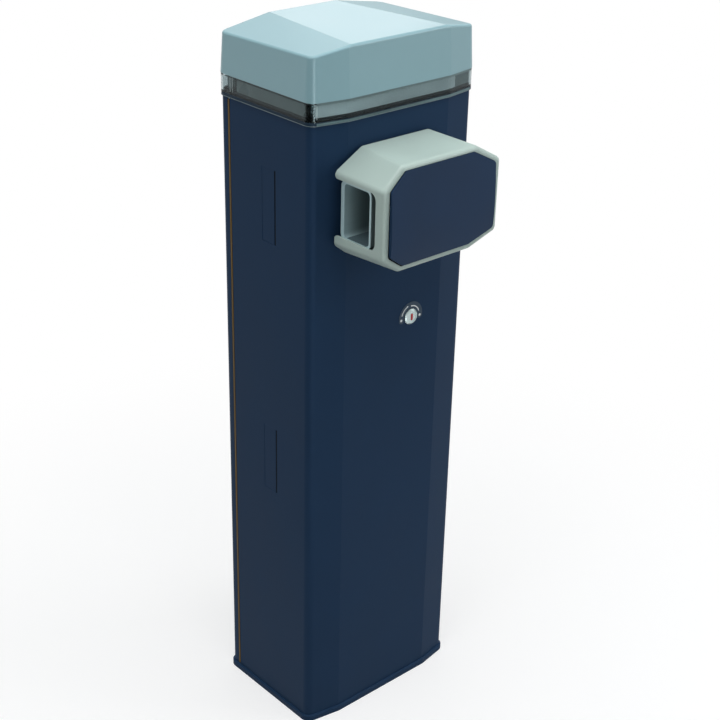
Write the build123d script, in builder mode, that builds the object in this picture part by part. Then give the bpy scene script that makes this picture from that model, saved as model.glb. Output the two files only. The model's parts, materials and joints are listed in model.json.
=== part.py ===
from build123d import *
import os
from math import cos, dist, pi, radians, sin, sqrt, tan

os.makedirs("parts", exist_ok=True)

# Road barrier cabinet with its boom head, in millimetres.
# X runs along the front to the right, Y to the back, Z up.
# The origin is at the middle of the base, on the ground.

# Cabinet
body_width = 296.0
body_depth = 210.0
front_setback = 10.0
rear_setback = 4.0
front_facet_run = 56.0
rear_facet_run = 86.5
corner_radius = 12.5
smallest_radius = 2.0
body_top = 975.0
sheet = 1.5
fit_gap = 0.3
overrun = 5.0

# Base
base_height = 10.0
base_rim = 3.2
base_chamfer = 2.0
toe_height = 25.0
toe_thickness = 3.0
toe_reach = 20.0
anchor_spacing_x = 210.0
anchor_spacing_y = 124.0
anchor_hole_radius = 7.0
cable_width = 120.0
cable_depth = 70.0
cable_corner = 8.0
cable_x = 15.0
cable_y = -30.0

# Light band and lid
band_height = 31.0
band_rim = 2.0
band_wall = 2.5
band_floor = 7.5
band_floor_reach = 11.0
band_roof = 3.0
band_roof_reach = 6.5
post_radius = 6.0
post_inset = 14.0
rear_post_inset = 12.0
lid_height = 69.0
lid_rim = 2.3
lid_draft = 3.6
lid_wall = 3.0
lid_round = 4.0
roof_front_inset = 5.0
roof_rear_inset = 2.0
roof_slope = 8.7
boss_depth = 22.0

# Main shaft, which runs along Y through the front of the cabinet
shaft_drop = 112.0
shaft_radius = 17.5
running_gap = 0.05
shaft_tail = 44.0

# Boom head, outlines given from the shaft's axis
shell_left = 118.0
shell_right = 97.0
shell_top = 76.0
shell_bottom = 70.5
shell_back_gap = 5.0
shell_depth = 95.0
shell_wall = 3.0
shell_round = 6.0
shell_corner = 9.0
rim_left = 11.0
rim_right = 11.5
rim_top = 6.5
rim_bottom = 9.0
face_corner = 6.0

# Corner chamfers of the head's outlines, as run along X and drop along Z,
# clockwise from the top left corner
shell_back_chamfers = ((46.0, 26.0), (47.0, 26.0), (52.0, 16.0), (22.0, 17.0))
shell_front_chamfers = ((31.0, 29.0), (47.0, 26.0), (52.0, 16.0), (32.0, 22.0))
face_chamfers = ((25.5, 23.5), (41.5, 21.5), (46.0, 14.5), (24.0, 17.0))

# Boom socket
socket_inner_depth = 49.5
socket_inner_height = 76.0
socket_back_wall = 6.5
socket_front_wall = 3.0
socket_side_wall = 3.5
socket_length = 180.0
socket_corner = 8.0
socket_inner_corner = 6.0

# Balance mechanism
lever_length = 62.0
lever_rest_angle = 45.0
lever_hub_radius = 30.0
lever_eye_radius = 16.0
lever_thickness = 12.0
pin_radius = 6.0
rod_radius = 6.0
rod_eye_radius = 14.0
rod_eye_thickness = 8.0
spring_turns = 16
spring_radius = 24.0
wire_radius = 4.0
spring_bottom = 190.0
spring_top = 560.0

# Release lock
lock_x = 35.0
lock_drop = 205.0
lock_radius = 12.0
lock_bezel = 2.2
plug_radius = 8.5
lock_stand = 3.5

# Rear door
seam_setback = 27.5
seam_gap = 5.2
door_gap = 0.6
hinge_inset = 4.6
hinge_pin_radius = 2.0

# Derived heights and planes
front_y = -body_depth / 2
shaft_z = body_top - shaft_drop
lock_z = shaft_z - lock_drop
front_corner_y = front_setback - body_depth / 2
rear_corner_y = body_depth / 2 - rear_setback
front_flat = body_width - 2 * front_facet_run
rear_flat = body_width - 2 * rear_facet_run
roof_front_half = front_flat / 2 - roof_front_inset
roof_rear_half = rear_flat / 2 - roof_rear_inset
seam_y = body_depth / 2 - seam_setback
band_top = body_top + band_height
overall_height = band_top + lid_height
door_edge_y = seam_y + seam_gap
inner_half = body_width / 2 - sheet
hinge_x = body_width / 2 - hinge_inset
hinge_y = door_edge_y - hinge_pin_radius / 5
hinge_eye = hinge_inset - sheet - fit_gap


def upright_plane(rear_y, height=0):
    """An upright plane at one Y, facing the front: x is X, y is Z, and extruding goes forwards."""
    return Plane(origin=(0, rear_y, height), x_dir=(1, 0, 0), z_dir=(0, -1, 0))


def side_plane(x, y=0, height=0):
    """An upright plane at one X, facing right: x is Y, y is Z, and extruding goes right."""
    return Plane(origin=(x, y, height), x_dir=(0, 1, 0), z_dir=(1, 0, 0))


def cabinet_plan(grow):
    """The cabinet's plan, moved outwards on every side by grow."""
    right = [
        (front_flat / 2, -body_depth / 2),
        (body_width / 2, front_corner_y),
        (body_width / 2, rear_corner_y),
        (rear_flat / 2, body_depth / 2),
    ]
    left = [(-x, y) for x, y in reversed(right)]
    with BuildSketch() as plan:
        with BuildLine():
            Polyline(*right, *left, close=True)
        make_face()
        if grow:
            offset(amount=grow, kind=Kind.INTERSECTION)
        corners = plan.vertices().group_by(lambda v: round(abs(v.X)))[-1]
        fillet(corners, max(corner_radius + grow, smallest_radius))
    return plan.sketch


def cabinet_ring(outer, inner):
    """A ring that follows the cabinet's plan between two offsets."""
    with BuildSketch() as ring:
        add(cabinet_plan(outer))
        add(cabinet_plan(inner), mode=Mode.SUBTRACT)
    return ring.sketch


# Base frame: a plate with a chamfered rim, anchor holes, a cable opening and a front toe
with BuildPart() as base_frame:
    with BuildSketch():
        add(cabinet_plan(base_rim))
        with Locations((cable_x, cable_y)):
            RectangleRounded(cable_width, cable_depth, cable_corner, mode=Mode.SUBTRACT)
        with GridLocations(anchor_spacing_x, anchor_spacing_y, 2, 2):
            Circle(anchor_hole_radius, mode=Mode.SUBTRACT)
    extrude(amount=base_height)
    chamfer(base_frame.faces().sort_by(Axis.Z)[-1].outer_wire().edges(), length=base_chamfer)
    toe_rear_y = front_y + sheet + fit_gap + toe_reach
    with BuildSketch(Plane.XY.offset(base_height)):
        add(cabinet_ring(-sheet - fit_gap, -sheet - fit_gap - toe_thickness))
        with Locations((0, toe_rear_y)):
            Rectangle(body_width, body_depth * 2, align=(Align.CENTER, Align.MIN), mode=Mode.SUBTRACT)
    extrude(amount=toe_height)

base_frame.part.label = "base_frame"
export_step(base_frame.part, "parts/base_frame.step")

# Front cover: one folded sheet, front and both sides, with windows for the side blanks
blank_width = 30.0
blank_height = 108.0
blank_y = -7.0
blank_lower_z = 442.5
blank_drop = 21.0
blank_heights = (blank_lower_z, shaft_z - blank_drop)
cover_hole_radius = 26.0
with BuildPart() as front_cover:
    with BuildSketch(Plane.XY.offset(base_height)):
        add(cabinet_ring(0, -sheet))
        with Locations((0, seam_y)):
            Rectangle(body_width * 2, body_depth, align=(Align.CENTER, Align.MIN), mode=Mode.SUBTRACT)
    extrude(amount=body_top - base_height)
    with BuildSketch(upright_plane(front_y + overrun)):
        with Locations((0, shaft_z)):
            Circle(cover_hole_radius)
        with Locations((lock_x, lock_z)):
            Circle(lock_radius + fit_gap)
    extrude(amount=2 * overrun, mode=Mode.SUBTRACT)
    with BuildSketch(side_plane(-body_width)):
        for window_z in blank_heights:
            with Locations((blank_y, window_z)):
                Rectangle(blank_width, blank_height)
    extrude(amount=2 * body_width, mode=Mode.SUBTRACT)

front_cover.part.label = "front_cover"
export_step(front_cover.part, "parts/front_cover.step")

# Side blanks: plates that close the photocell windows up to a slot at their front edge,
# held by a flange behind the sheet
blank_gap = 0.3
blank_slot = 3.4
blank_recess = 0.3
blank_flange = 4.0
blank_flange_thickness = 1.5
with BuildPart() as side_blanks:
    for side in (-1, 1):
        for window_z in blank_heights:
            with BuildSketch(side_plane(side * inner_half, blank_y, window_z)):
                with Locations((blank_width / 2 - blank_gap, 0)):
                    Rectangle(
                        blank_width - blank_slot - blank_gap,
                        blank_height - 2 * blank_gap,
                        align=(Align.MAX, Align.CENTER),
                    )
            extrude(amount=side * (sheet - blank_recess))
            with BuildSketch(side_plane(side * inner_half, blank_y, window_z)):
                Rectangle(blank_width + 2 * blank_flange, blank_height + 2 * blank_flange)
            extrude(amount=-side * blank_flange_thickness)

side_blanks.part.label = "side_blanks"
export_step(side_blanks.part, "parts/side_blanks.step")

# Uprights: two folded channels that carry everything inside, on bolted feet
channel_wall = 2.5
channel_flange = 24.0
front_space = 23.0
channel_front_y = front_y + front_space
channel_rear_y = seam_y - sheet
top_plate_thickness = 3.0
channel_top = body_top - top_plate_thickness
web_window_width = 46.0
web_window_height = 128.0
web_window_corner = 6.0
web_window_y = blank_y
web_window_pitch = 150.0
web_window_heights = [blank_lower_z + row * web_window_pitch for row in range(-2, 2)]
web_window_heights.append(blank_heights[1])
foot_length = 60.0
foot_thickness = 4.0
foot_bolt_radius = 4.0
foot_bolt_x = inner_half - fit_gap - channel_flange / 2
door_screw_x = -inner_half + channel_flange * 2 / 3
door_screw_heights = (200.0, 780.0)
door_screw_radius = 3.0
door_screw_gap = 0.8


def upright(side):
    """A channel with its web against the side of the cover and its flanges facing inwards."""
    web_x = side * (inner_half - fit_gap)
    depth = channel_rear_y - channel_front_y
    middle_y = (channel_rear_y + channel_front_y) / 2
    inward = Align.MAX if side > 0 else Align.MIN
    with BuildPart() as channel:
        with BuildSketch(Plane.XY.offset(base_height)):
            with Locations((web_x, middle_y)):
                Rectangle(channel_flange, depth, align=(inward, Align.CENTER))
            with Locations((web_x - side * channel_wall, middle_y)):
                Rectangle(
                    channel_flange,
                    depth - 2 * channel_wall,
                    align=(inward, Align.CENTER),
                    mode=Mode.SUBTRACT,
                )
        extrude(amount=channel_top - base_height)
        with BuildSketch(side_plane(web_x - side * channel_flange / 2, web_window_y)):
            for window_z in web_window_heights:
                with Locations((0, window_z)):
                    RectangleRounded(web_window_width, web_window_height, web_window_corner)
        extrude(amount=side * channel_flange, mode=Mode.SUBTRACT)
        with BuildSketch(Plane.XY.offset(base_height)):
            with Locations((web_x, middle_y)):
                Rectangle(channel_flange, foot_length, align=(inward, Align.CENTER))
            with Locations((side * foot_bolt_x, middle_y)):
                Circle(foot_bolt_radius + running_gap, mode=Mode.SUBTRACT)
        extrude(amount=foot_thickness)
    return channel.part


with BuildPart() as left_upright:
    add(upright(-1))
    with BuildSketch(upright_plane(channel_rear_y + overrun)):
        for screw_z in door_screw_heights:
            with Locations((door_screw_x, screw_z)):
                Circle(door_screw_radius + door_screw_gap)
    extrude(amount=2 * overrun, mode=Mode.SUBTRACT)

left_upright.part.label = "left_upright"
export_step(left_upright.part, "parts/left_upright.step")

with BuildPart() as right_upright:
    add(upright(1))

right_upright.part.label = "right_upright"
export_step(right_upright.part, "parts/right_upright.step")

# Foot bolts, one through each upright's foot into the base
foot_bolt_head_radius = 6.5
foot_bolt_head_height = 5.0
foot_middle_y = (channel_rear_y + channel_front_y) / 2
with BuildPart() as foot_bolts:
    for side in (-1, 1):
        with BuildSketch(Plane.XY.offset(base_height)):
            with Locations((side * foot_bolt_x, foot_middle_y)):
                Circle(foot_bolt_radius)
        extrude(amount=foot_thickness)
        with BuildSketch(Plane.XY.offset(base_height + foot_thickness)):
            with Locations((side * foot_bolt_x, foot_middle_y)):
                RegularPolygon(foot_bolt_head_radius, 6)
        extrude(amount=foot_bolt_head_height)

foot_bolts.part.label = "foot_bolts"
export_step(foot_bolts.part, "parts/foot_bolts.step")

# Top plate: closes the cabinet under the light band, holds the heads of the lid's screws,
# and is notched where the door's edge turns past it
top_window_width = 180.0
top_window_depth = 110.0
top_window_corner = 12.0
lid_screw_radius = 2.5
lid_screw_head_radius = 4.5
post_x = body_width / 2 - post_inset
front_post_y = front_corner_y + post_inset
rear_post_y = rear_corner_y - rear_post_inset
post_places = [(side * post_x, y) for side in (-1, 1) for y in (front_post_y, rear_post_y)]
with BuildPart() as top_plate:
    with BuildSketch(Plane.XY.offset(body_top - top_plate_thickness)):
        add(cabinet_plan(-sheet - fit_gap))
        RectangleRounded(top_window_width, top_window_depth, top_window_corner, mode=Mode.SUBTRACT)
        with Locations(*post_places):
            Circle(lid_screw_head_radius + fit_gap, mode=Mode.SUBTRACT)
        with Locations((hinge_x - hinge_eye, channel_rear_y)):
            Rectangle(
                body_width,
                hinge_y + hinge_inset - channel_rear_y,
                align=(Align.MIN, Align.MIN),
                mode=Mode.SUBTRACT,
            )
    extrude(amount=top_plate_thickness)

top_plate.part.label = "top_plate"
export_step(top_plate.part, "parts/top_plate.step")

# Clear band: a transparent ring with a floor, a thin wall, a roof and four posts
with BuildPart() as clear_band:
    with BuildSketch(Plane.XY.offset(body_top)):
        add(cabinet_ring(band_rim, band_rim - band_floor_reach))
        with Locations(*post_places):
            Circle(post_radius)
    extrude(amount=band_floor)
    with BuildSketch(Plane.XY.offset(body_top)):
        add(cabinet_ring(band_rim, band_rim - band_wall))
        with Locations(*post_places):
            Circle(post_radius)
    extrude(amount=band_height)
    with BuildSketch(Plane.XY.offset(band_top - band_roof)):
        add(cabinet_ring(band_rim, band_rim - band_roof_reach))
    extrude(amount=band_roof)
    with BuildSketch(Plane.XY.offset(body_top)):
        with Locations(*post_places):
            Circle(lid_screw_radius + fit_gap)
    extrude(amount=band_height, mode=Mode.SUBTRACT)

clear_band.part.label = "clear_band"
export_step(clear_band.part, "parts/clear_band.step")

# Light diffuser: four grey panes that hang from the band's roof behind the clear wall
# and leave the corners free
diffuser_inset = 3.5
diffuser_wall = 1.6
diffuser_stand = 2.5
pane_end_gap = 17.0
pane_rear_gap = 37.0
with BuildPart() as light_diffuser:
    with BuildSketch(Plane.XY.offset(body_top + band_floor + diffuser_stand)):
        add(cabinet_ring(-diffuser_inset, -diffuser_inset - diffuser_wall))
        for side in (-1, 1):
            away = Align.MIN if side > 0 else Align.MAX
            with Locations((side * (body_width / 2 - pane_end_gap), front_corner_y + pane_end_gap)):
                Rectangle(body_width, body_depth, align=(away, Align.MAX), mode=Mode.SUBTRACT)
            with Locations((side * (body_width / 2 - pane_end_gap), rear_corner_y - pane_rear_gap)):
                Rectangle(body_width, body_depth, align=(away, Align.MIN), mode=Mode.SUBTRACT)
    extrude(amount=band_height - band_floor - diffuser_stand - band_roof)

light_diffuser.part.label = "light_diffuser"
export_step(light_diffuser.part, "parts/light_diffuser.step")

# Light carrier and its strip of lamps, inside the posts
carrier_inset = 24.0
carrier_wall = 2.0
carrier_height = 24.0
strip_thickness = 1.2
strip_height = 10.0
with BuildPart() as light_carrier:
    with BuildSketch(Plane.XY.offset(body_top)):
        add(cabinet_ring(-carrier_inset, -carrier_inset - carrier_wall))
    extrude(amount=carrier_height)

light_carrier.part.label = "light_carrier"
export_step(light_carrier.part, "parts/light_carrier.step")

with BuildPart() as light_strip:
    with BuildSketch(Plane.XY.offset(body_top + (carrier_height - strip_height) / 2)):
        add(cabinet_ring(-carrier_inset + strip_thickness, -carrier_inset))
    extrude(amount=strip_height)

light_strip.part.label = "light_strip"
export_step(light_strip.part, "parts/light_strip.step")


def roof_plane(side, inset):
    """The plane of one sloping roof facet, moved inwards by inset."""
    crease = Vector(side * (roof_rear_half - roof_front_half), body_depth, 0).normalized()
    outward = Vector(crease.Y, -crease.X, 0) * side
    normal = outward * sin(radians(roof_slope)) + Vector(0, 0, 1) * cos(radians(roof_slope))
    corner = Vector(side * roof_front_half, front_y, overall_height)
    return Plane(origin=corner - normal * inset, z_dir=normal)


def lid_form(inset):
    """The lid's outer form, or the form of its cavity when inset by the wall."""
    with BuildPart() as form:
        with BuildSketch(Plane.XY.offset(band_top)):
            add(cabinet_plan(lid_rim - inset))
        extrude(amount=lid_height - inset, taper=lid_draft)
        for side in (-1, 1):
            split(bisect_by=roof_plane(side, inset), keep=Keep.BOTTOM)
    return form.part


# Lid: a drafted shell with a flat roof strip, two sloping facets and four screw bosses
with BuildPart() as lid_cavity:
    add(lid_form(lid_wall))
    with Locations(*[(x, y, band_top) for x, y in post_places]):
        Cylinder(
            post_radius,
            lid_height,
            align=(Align.CENTER, Align.CENTER, Align.MIN),
            mode=Mode.SUBTRACT,
        )

with BuildPart() as lid:
    add(lid_form(0))
    roof_faces = lid.faces().filter_by(lambda f: f.normal_at().Z > cos(radians(2 * roof_slope)))
    roof_edges = roof_faces.edges()
    rim_edges = roof_edges.filter_by(lambda e: len([f for f in roof_faces if e in f.edges()]) == 1)
    fillet(rim_edges, lid_round)
    add(lid_cavity.part, mode=Mode.SUBTRACT)
    with BuildSketch(Plane.XY.offset(band_top)):
        with Locations(*post_places):
            Circle(lid_screw_radius + running_gap)
    extrude(amount=boss_depth, mode=Mode.SUBTRACT)

lid.part.label = "lid"
export_step(lid.part, "parts/lid.step")

# Lid screws: heads sunk in the top plate, shanks up through the band's posts into the lid
with BuildPart() as lid_screws:
    with BuildSketch(Plane.XY.offset(body_top - top_plate_thickness)):
        with Locations(*post_places):
            RegularPolygon(lid_screw_head_radius, 6)
    extrude(amount=top_plate_thickness)
    with BuildSketch(Plane.XY.offset(body_top)):
        with Locations(*post_places):
            Circle(lid_screw_radius)
    extrude(amount=band_height + boss_depth - fit_gap)

lid_screws.part.label = "lid_screws"
export_step(lid_screws.part, "parts/lid_screws.step")

# Rear door: a folded tray with a return at its top and foot
door_bottom = base_height + door_gap
door_top = body_top - door_gap
door_return_depth = 13.0
door_return_y = body_depth / 2 - door_return_depth
door_return_drop = 8.0
door_screw_hole_gap = 0.4
with BuildPart() as rear_door:
    with BuildSketch(Plane.XY.offset(door_bottom)):
        add(cabinet_ring(0, -sheet))
        with Locations((0, door_edge_y)):
            Rectangle(body_width * 2, body_depth * 2, align=(Align.CENTER, Align.MAX), mode=Mode.SUBTRACT)
    extrude(amount=door_top - door_bottom)
    for return_z in (door_bottom + door_return_drop, door_top - door_return_drop):
        with BuildSketch(Plane.XY.offset(return_z)):
            add(cabinet_plan(-sheet / 2))
            with Locations((0, door_return_y)):
                Rectangle(
                    body_width * 2, body_depth * 2, align=(Align.CENTER, Align.MAX), mode=Mode.SUBTRACT
                )
        extrude(amount=sheet)
    with BuildSketch(upright_plane(body_depth)):
        for screw_z in door_screw_heights:
            with Locations((door_screw_x, screw_z)):
                Circle(door_screw_radius + door_screw_hole_gap)
    extrude(amount=body_depth - door_edge_y, mode=Mode.SUBTRACT)

rear_door.part.label = "rear_door"
export_step(rear_door.part, "parts/rear_door.step")

# Door screws: captive, through the door into the left upright
door_screw_head_radius = 5.5
door_screw_head_height = 3.5
facet_rise = rear_setback / rear_facet_run
door_screw_seat_y = rear_corner_y + (body_width / 2 + door_screw_x + door_screw_head_radius) * facet_rise
with BuildPart() as door_screws:
    for screw_z in door_screw_heights:
        with BuildSketch(upright_plane(door_screw_seat_y, screw_z)):
            with Locations((door_screw_x, 0)):
                Circle(door_screw_radius)
        extrude(amount=door_screw_seat_y - channel_rear_y + 2 * channel_wall)
        with BuildSketch(upright_plane(door_screw_seat_y, screw_z)):
            with Locations((door_screw_x, 0)):
                Circle(door_screw_head_radius)
        extrude(amount=-door_screw_head_height)
    with BuildSketch(upright_plane(door_screw_seat_y + door_screw_head_height + overrun)):
        for screw_z in door_screw_heights:
            with Locations((door_screw_x, screw_z)):
                RegularPolygon(door_screw_radius, 6)
    extrude(amount=overrun + door_screw_head_height * 2 / 3, mode=Mode.SUBTRACT)

door_screws.part.label = "door_screws"
export_step(door_screws.part, "parts/door_screws.step")

# Door seal: a strip gripped on the free edge of the door
seal_reach = 3.2
seal_thickness = 2.0
seal_grip = 4.0
seal_recess = 0.4
with BuildPart() as door_seal:
    with BuildSketch(Plane.XY.offset(door_bottom)):
        with BuildLine():
            outer_x = -body_width / 2 + seal_recess
            groove_x = -inner_half + running_gap
            inner_x = groove_x + seal_thickness
            edge_y = door_edge_y - running_gap
            Polyline(
                (outer_x, edge_y),
                (outer_x, edge_y - seal_reach),
                (inner_x, edge_y - seal_reach),
                (inner_x, edge_y + seal_grip),
                (groove_x, edge_y + seal_grip / 4),
                (groove_x, edge_y),
                close=True,
            )
        make_face()
    extrude(amount=channel_top - fit_gap - door_bottom)

door_seal.part.label = "door_seal"
export_step(door_seal.part, "parts/door_seal.step")

# Concealed pivots: a gooseneck bracket with a pin on the frame, a leaf on the door
hinge_heights = (120.0, 490.0, 800.0)
hinge_plate = 4.0
hinge_arm = 11.0
leaf_reach = 13.0
pin_height = 3 * hinge_plate
with BuildPart() as hinge_brackets:
    for hinge_z in hinge_heights:
        with BuildSketch(Plane.XY.offset(hinge_z)):
            with Locations((hinge_x - hinge_eye, hinge_y)):
                Rectangle(hinge_arm, hinge_y - channel_rear_y, align=(Align.MAX, Align.MAX))
            with Locations((hinge_x, hinge_y)):
                Circle(hinge_eye)
            with Locations((hinge_x, hinge_y)):
                Rectangle(2 * hinge_eye, 2 * hinge_eye, align=(Align.MAX, Align.CENTER))
        extrude(amount=hinge_plate)
        with BuildSketch(Plane.XY.offset(hinge_z)):
            with Locations((hinge_x, hinge_y)):
                Circle(hinge_pin_radius)
        extrude(amount=pin_height)

hinge_brackets.part.label = "hinge_brackets"
export_step(hinge_brackets.part, "parts/hinge_brackets.step")

with BuildPart() as door_leaves:
    for hinge_z in hinge_heights:
        with BuildSketch(Plane.XY.offset(hinge_z + hinge_plate + fit_gap)):
            add(cabinet_plan(-sheet))
            with Locations((hinge_x + hinge_inset, hinge_y - hinge_eye)):
                Rectangle(
                    leaf_reach + hinge_inset,
                    body_depth / 2 - hinge_y + hinge_eye,
                    align=(Align.MAX, Align.MIN),
                    mode=Mode.INTERSECT,
                )
            with Locations((hinge_x, hinge_y)):
                Circle(hinge_pin_radius + running_gap, mode=Mode.SUBTRACT)
        extrude(amount=hinge_plate)

door_leaves.part.label = "door_leaves"
export_step(door_leaves.part, "parts/door_leaves.step")

# Motor plate: bolted across the uprights behind the front cover
plate_thickness = 5.0
plate_rise = 93.0
plate_height = 355.0
plate_top = shaft_z + plate_rise
plate_bottom = plate_top - plate_height
plate_half_width = inner_half - channel_flange / 4
plate_corner = 10.0
plate_hole_radius = 28.0
housing_front_y = channel_front_y
plate_front_y = channel_front_y - plate_thickness
release_radius = 5.0
release_clearance = 3.0
release_hole_radius = release_radius + release_clearance
plate_bolt_x = inner_half - channel_flange * 2 / 3
plate_bolt_inset = 30.0
plate_bolt_heights = (plate_bottom + plate_bolt_inset, plate_top - plate_bolt_inset)
plate_bolt_radius = 4.0
with BuildPart() as motor_plate:
    with BuildSketch(upright_plane(channel_front_y, (plate_top + plate_bottom) / 2)):
        RectangleRounded(2 * plate_half_width, plate_height, plate_corner)
    extrude(amount=plate_thickness)
    with BuildSketch(upright_plane(channel_front_y)):
        with Locations((0, shaft_z)):
            Circle(plate_hole_radius)
        with Locations((lock_x, lock_z)):
            Circle(release_hole_radius)
        for bolt_z in plate_bolt_heights:
            with Locations((-plate_bolt_x, bolt_z), (plate_bolt_x, bolt_z)):
                Circle(plate_bolt_radius + running_gap)
    extrude(amount=plate_thickness, mode=Mode.SUBTRACT)

motor_plate.part.label = "motor_plate"
export_step(motor_plate.part, "parts/motor_plate.step")

plate_bolt_head_radius = 6.5
plate_bolt_head_height = 4.0
with BuildPart() as plate_bolts:
    for bolt_z in plate_bolt_heights:
        with BuildSketch(upright_plane(channel_front_y)):
            with Locations((-plate_bolt_x, bolt_z), (plate_bolt_x, bolt_z)):
                Circle(plate_bolt_radius)
        extrude(amount=plate_thickness)
        with BuildSketch(upright_plane(plate_front_y)):
            with Locations((-plate_bolt_x, bolt_z), (plate_bolt_x, bolt_z)):
                RegularPolygon(plate_bolt_head_radius, 6)
        extrude(amount=plate_bolt_head_height)

plate_bolts.part.label = "plate_bolts"
export_step(plate_bolts.part, "parts/plate_bolts.step")

# Gear housing: a casting round the shaft that narrows to the worm's end at its foot
housing_radius = 66.0
rear_space = 89.0
housing_rear_y = body_depth / 2 - rear_space
housing_foot_drop = 222.0
housing_foot_z = shaft_z - housing_foot_drop
housing_foot_radius = 18.0
housing_foot_left = -32.0
housing_foot_right = 56.0
bearing_radius = 36.0
bearing_width = 17.0
bore_radius = 30.0
release_depth = 40.0
fin_width = 4.0
fin_depth = 5.0
fin_pitch = 11.0
fin_count = 7
fin_drop = 172.0
fin_bottom = shaft_z - fin_drop


def housing_outline(grow):
    """The casting's outline seen from the front: the hull of three circles."""
    with BuildSketch() as outline:
        with Locations((0, shaft_z)):
            Circle(housing_radius + grow)
        with Locations((housing_foot_left, housing_foot_z), (housing_foot_right, housing_foot_z)):
            Circle(housing_foot_radius + grow)
        make_hull()
    return outline.sketch


with BuildPart() as gear_housing:
    with BuildSketch(upright_plane(housing_rear_y)):
        add(housing_outline(0))
    extrude(amount=housing_rear_y - housing_front_y)
    with BuildSketch(upright_plane(housing_rear_y - 2 * fin_width)):
        for fin in range(fin_count):
            with Locations((housing_foot_right + fin_depth, fin_bottom + fin * fin_pitch)):
                Rectangle(housing_radius / 2, fin_width, align=(Align.MIN, Align.CENTER))
    extrude(amount=housing_rear_y - housing_front_y - 4 * fin_width, mode=Mode.SUBTRACT)
    with BuildSketch(upright_plane(housing_rear_y)):
        with Locations((0, shaft_z)):
            Circle(bore_radius)
    extrude(amount=housing_rear_y - housing_front_y, mode=Mode.SUBTRACT)
    with BuildSketch(upright_plane(housing_rear_y)):
        with Locations((0, shaft_z)):
            Circle(bearing_radius)
    extrude(amount=bearing_width, mode=Mode.SUBTRACT)
    with BuildSketch(upright_plane(housing_front_y + bearing_width)):
        with Locations((0, shaft_z)):
            Circle(bearing_radius)
    extrude(amount=bearing_width, mode=Mode.SUBTRACT)
    with BuildSketch(upright_plane(housing_front_y + release_depth)):
        with Locations((lock_x, lock_z)):
            Circle(release_radius + running_gap)
    extrude(amount=release_depth, mode=Mode.SUBTRACT)

gear_housing.part.label = "gear_housing"
export_step(gear_housing.part, "parts/gear_housing.step")

# Shaft bearings, pressed into both ends of the housing
bearing_groove_radius = 27.0
bearing_groove_width = 5.0
bearing_groove_depth = 1.5


def bearing(rear_y):
    """A ring with a shallow groove in each face, as a shielded ball bearing shows."""
    with BuildPart() as ring:
        with BuildSketch(upright_plane(rear_y, shaft_z)):
            Circle(bearing_radius)
            Circle(shaft_radius + running_gap, mode=Mode.SUBTRACT)
        extrude(amount=bearing_width)
        for face_y in (rear_y, rear_y - bearing_width + bearing_groove_depth):
            with BuildSketch(upright_plane(face_y, shaft_z)):
                Circle(bearing_groove_radius + bearing_groove_width / 2)
                Circle(bearing_groove_radius - bearing_groove_width / 2, mode=Mode.SUBTRACT)
            extrude(amount=bearing_groove_depth, mode=Mode.SUBTRACT)
    return ring.part


with BuildPart() as front_bearing:
    add(bearing(housing_front_y + bearing_width))

front_bearing.part.label = "front_bearing"
export_step(front_bearing.part, "parts/front_bearing.step")

with BuildPart() as rear_bearing:
    add(bearing(housing_rear_y))

rear_bearing.part.label = "rear_bearing"
export_step(rear_bearing.part, "parts/rear_bearing.step")

# Gear cover: the bolted plate over the back of the housing
cover_plate_thickness = 6.0
cover_plate_inset = 3.0
cover_plate_bore = 24.0
cover_rear_y = housing_rear_y + cover_plate_thickness
shaft_rear_y = cover_rear_y + shaft_tail
cover_bolt_inset = 10.0
cover_bolt_circle = housing_radius - cover_bolt_inset
cover_bolt_radius = 3.5
cover_bolt_head_height = 4.0
cover_bolt_angles = (100, 150, 210)
cover_bolt_places = [
    (cover_bolt_circle * cos(radians(angle)), shaft_z + cover_bolt_circle * sin(radians(angle)))
    for angle in cover_bolt_angles
]
cover_bolt_places.append((housing_foot_left, housing_foot_z))
cover_bolt_places.append((housing_foot_right, housing_foot_z))
with BuildPart() as gear_cover:
    with BuildSketch(upright_plane(cover_rear_y)):
        add(housing_outline(-cover_plate_inset))
        with Locations((0, shaft_z)):
            Circle(cover_plate_bore, mode=Mode.SUBTRACT)
        with Locations(*cover_bolt_places):
            Circle(cover_bolt_radius + running_gap, mode=Mode.SUBTRACT)
    extrude(amount=cover_plate_thickness)

gear_cover.part.label = "gear_cover"
export_step(gear_cover.part, "parts/gear_cover.step")

with BuildPart() as cover_bolts:
    with BuildSketch(upright_plane(cover_rear_y)):
        with Locations(*cover_bolt_places):
            Circle(cover_bolt_radius)
    extrude(amount=cover_plate_thickness)
    with BuildSketch(upright_plane(cover_rear_y + cover_bolt_head_height)):
        with Locations(*cover_bolt_places):
            RegularPolygon(2 * cover_bolt_radius, 6)
    extrude(amount=cover_bolt_head_height)

cover_bolts.part.label = "cover_bolts"
export_step(cover_bolts.part, "parts/cover_bolts.step")

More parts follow.
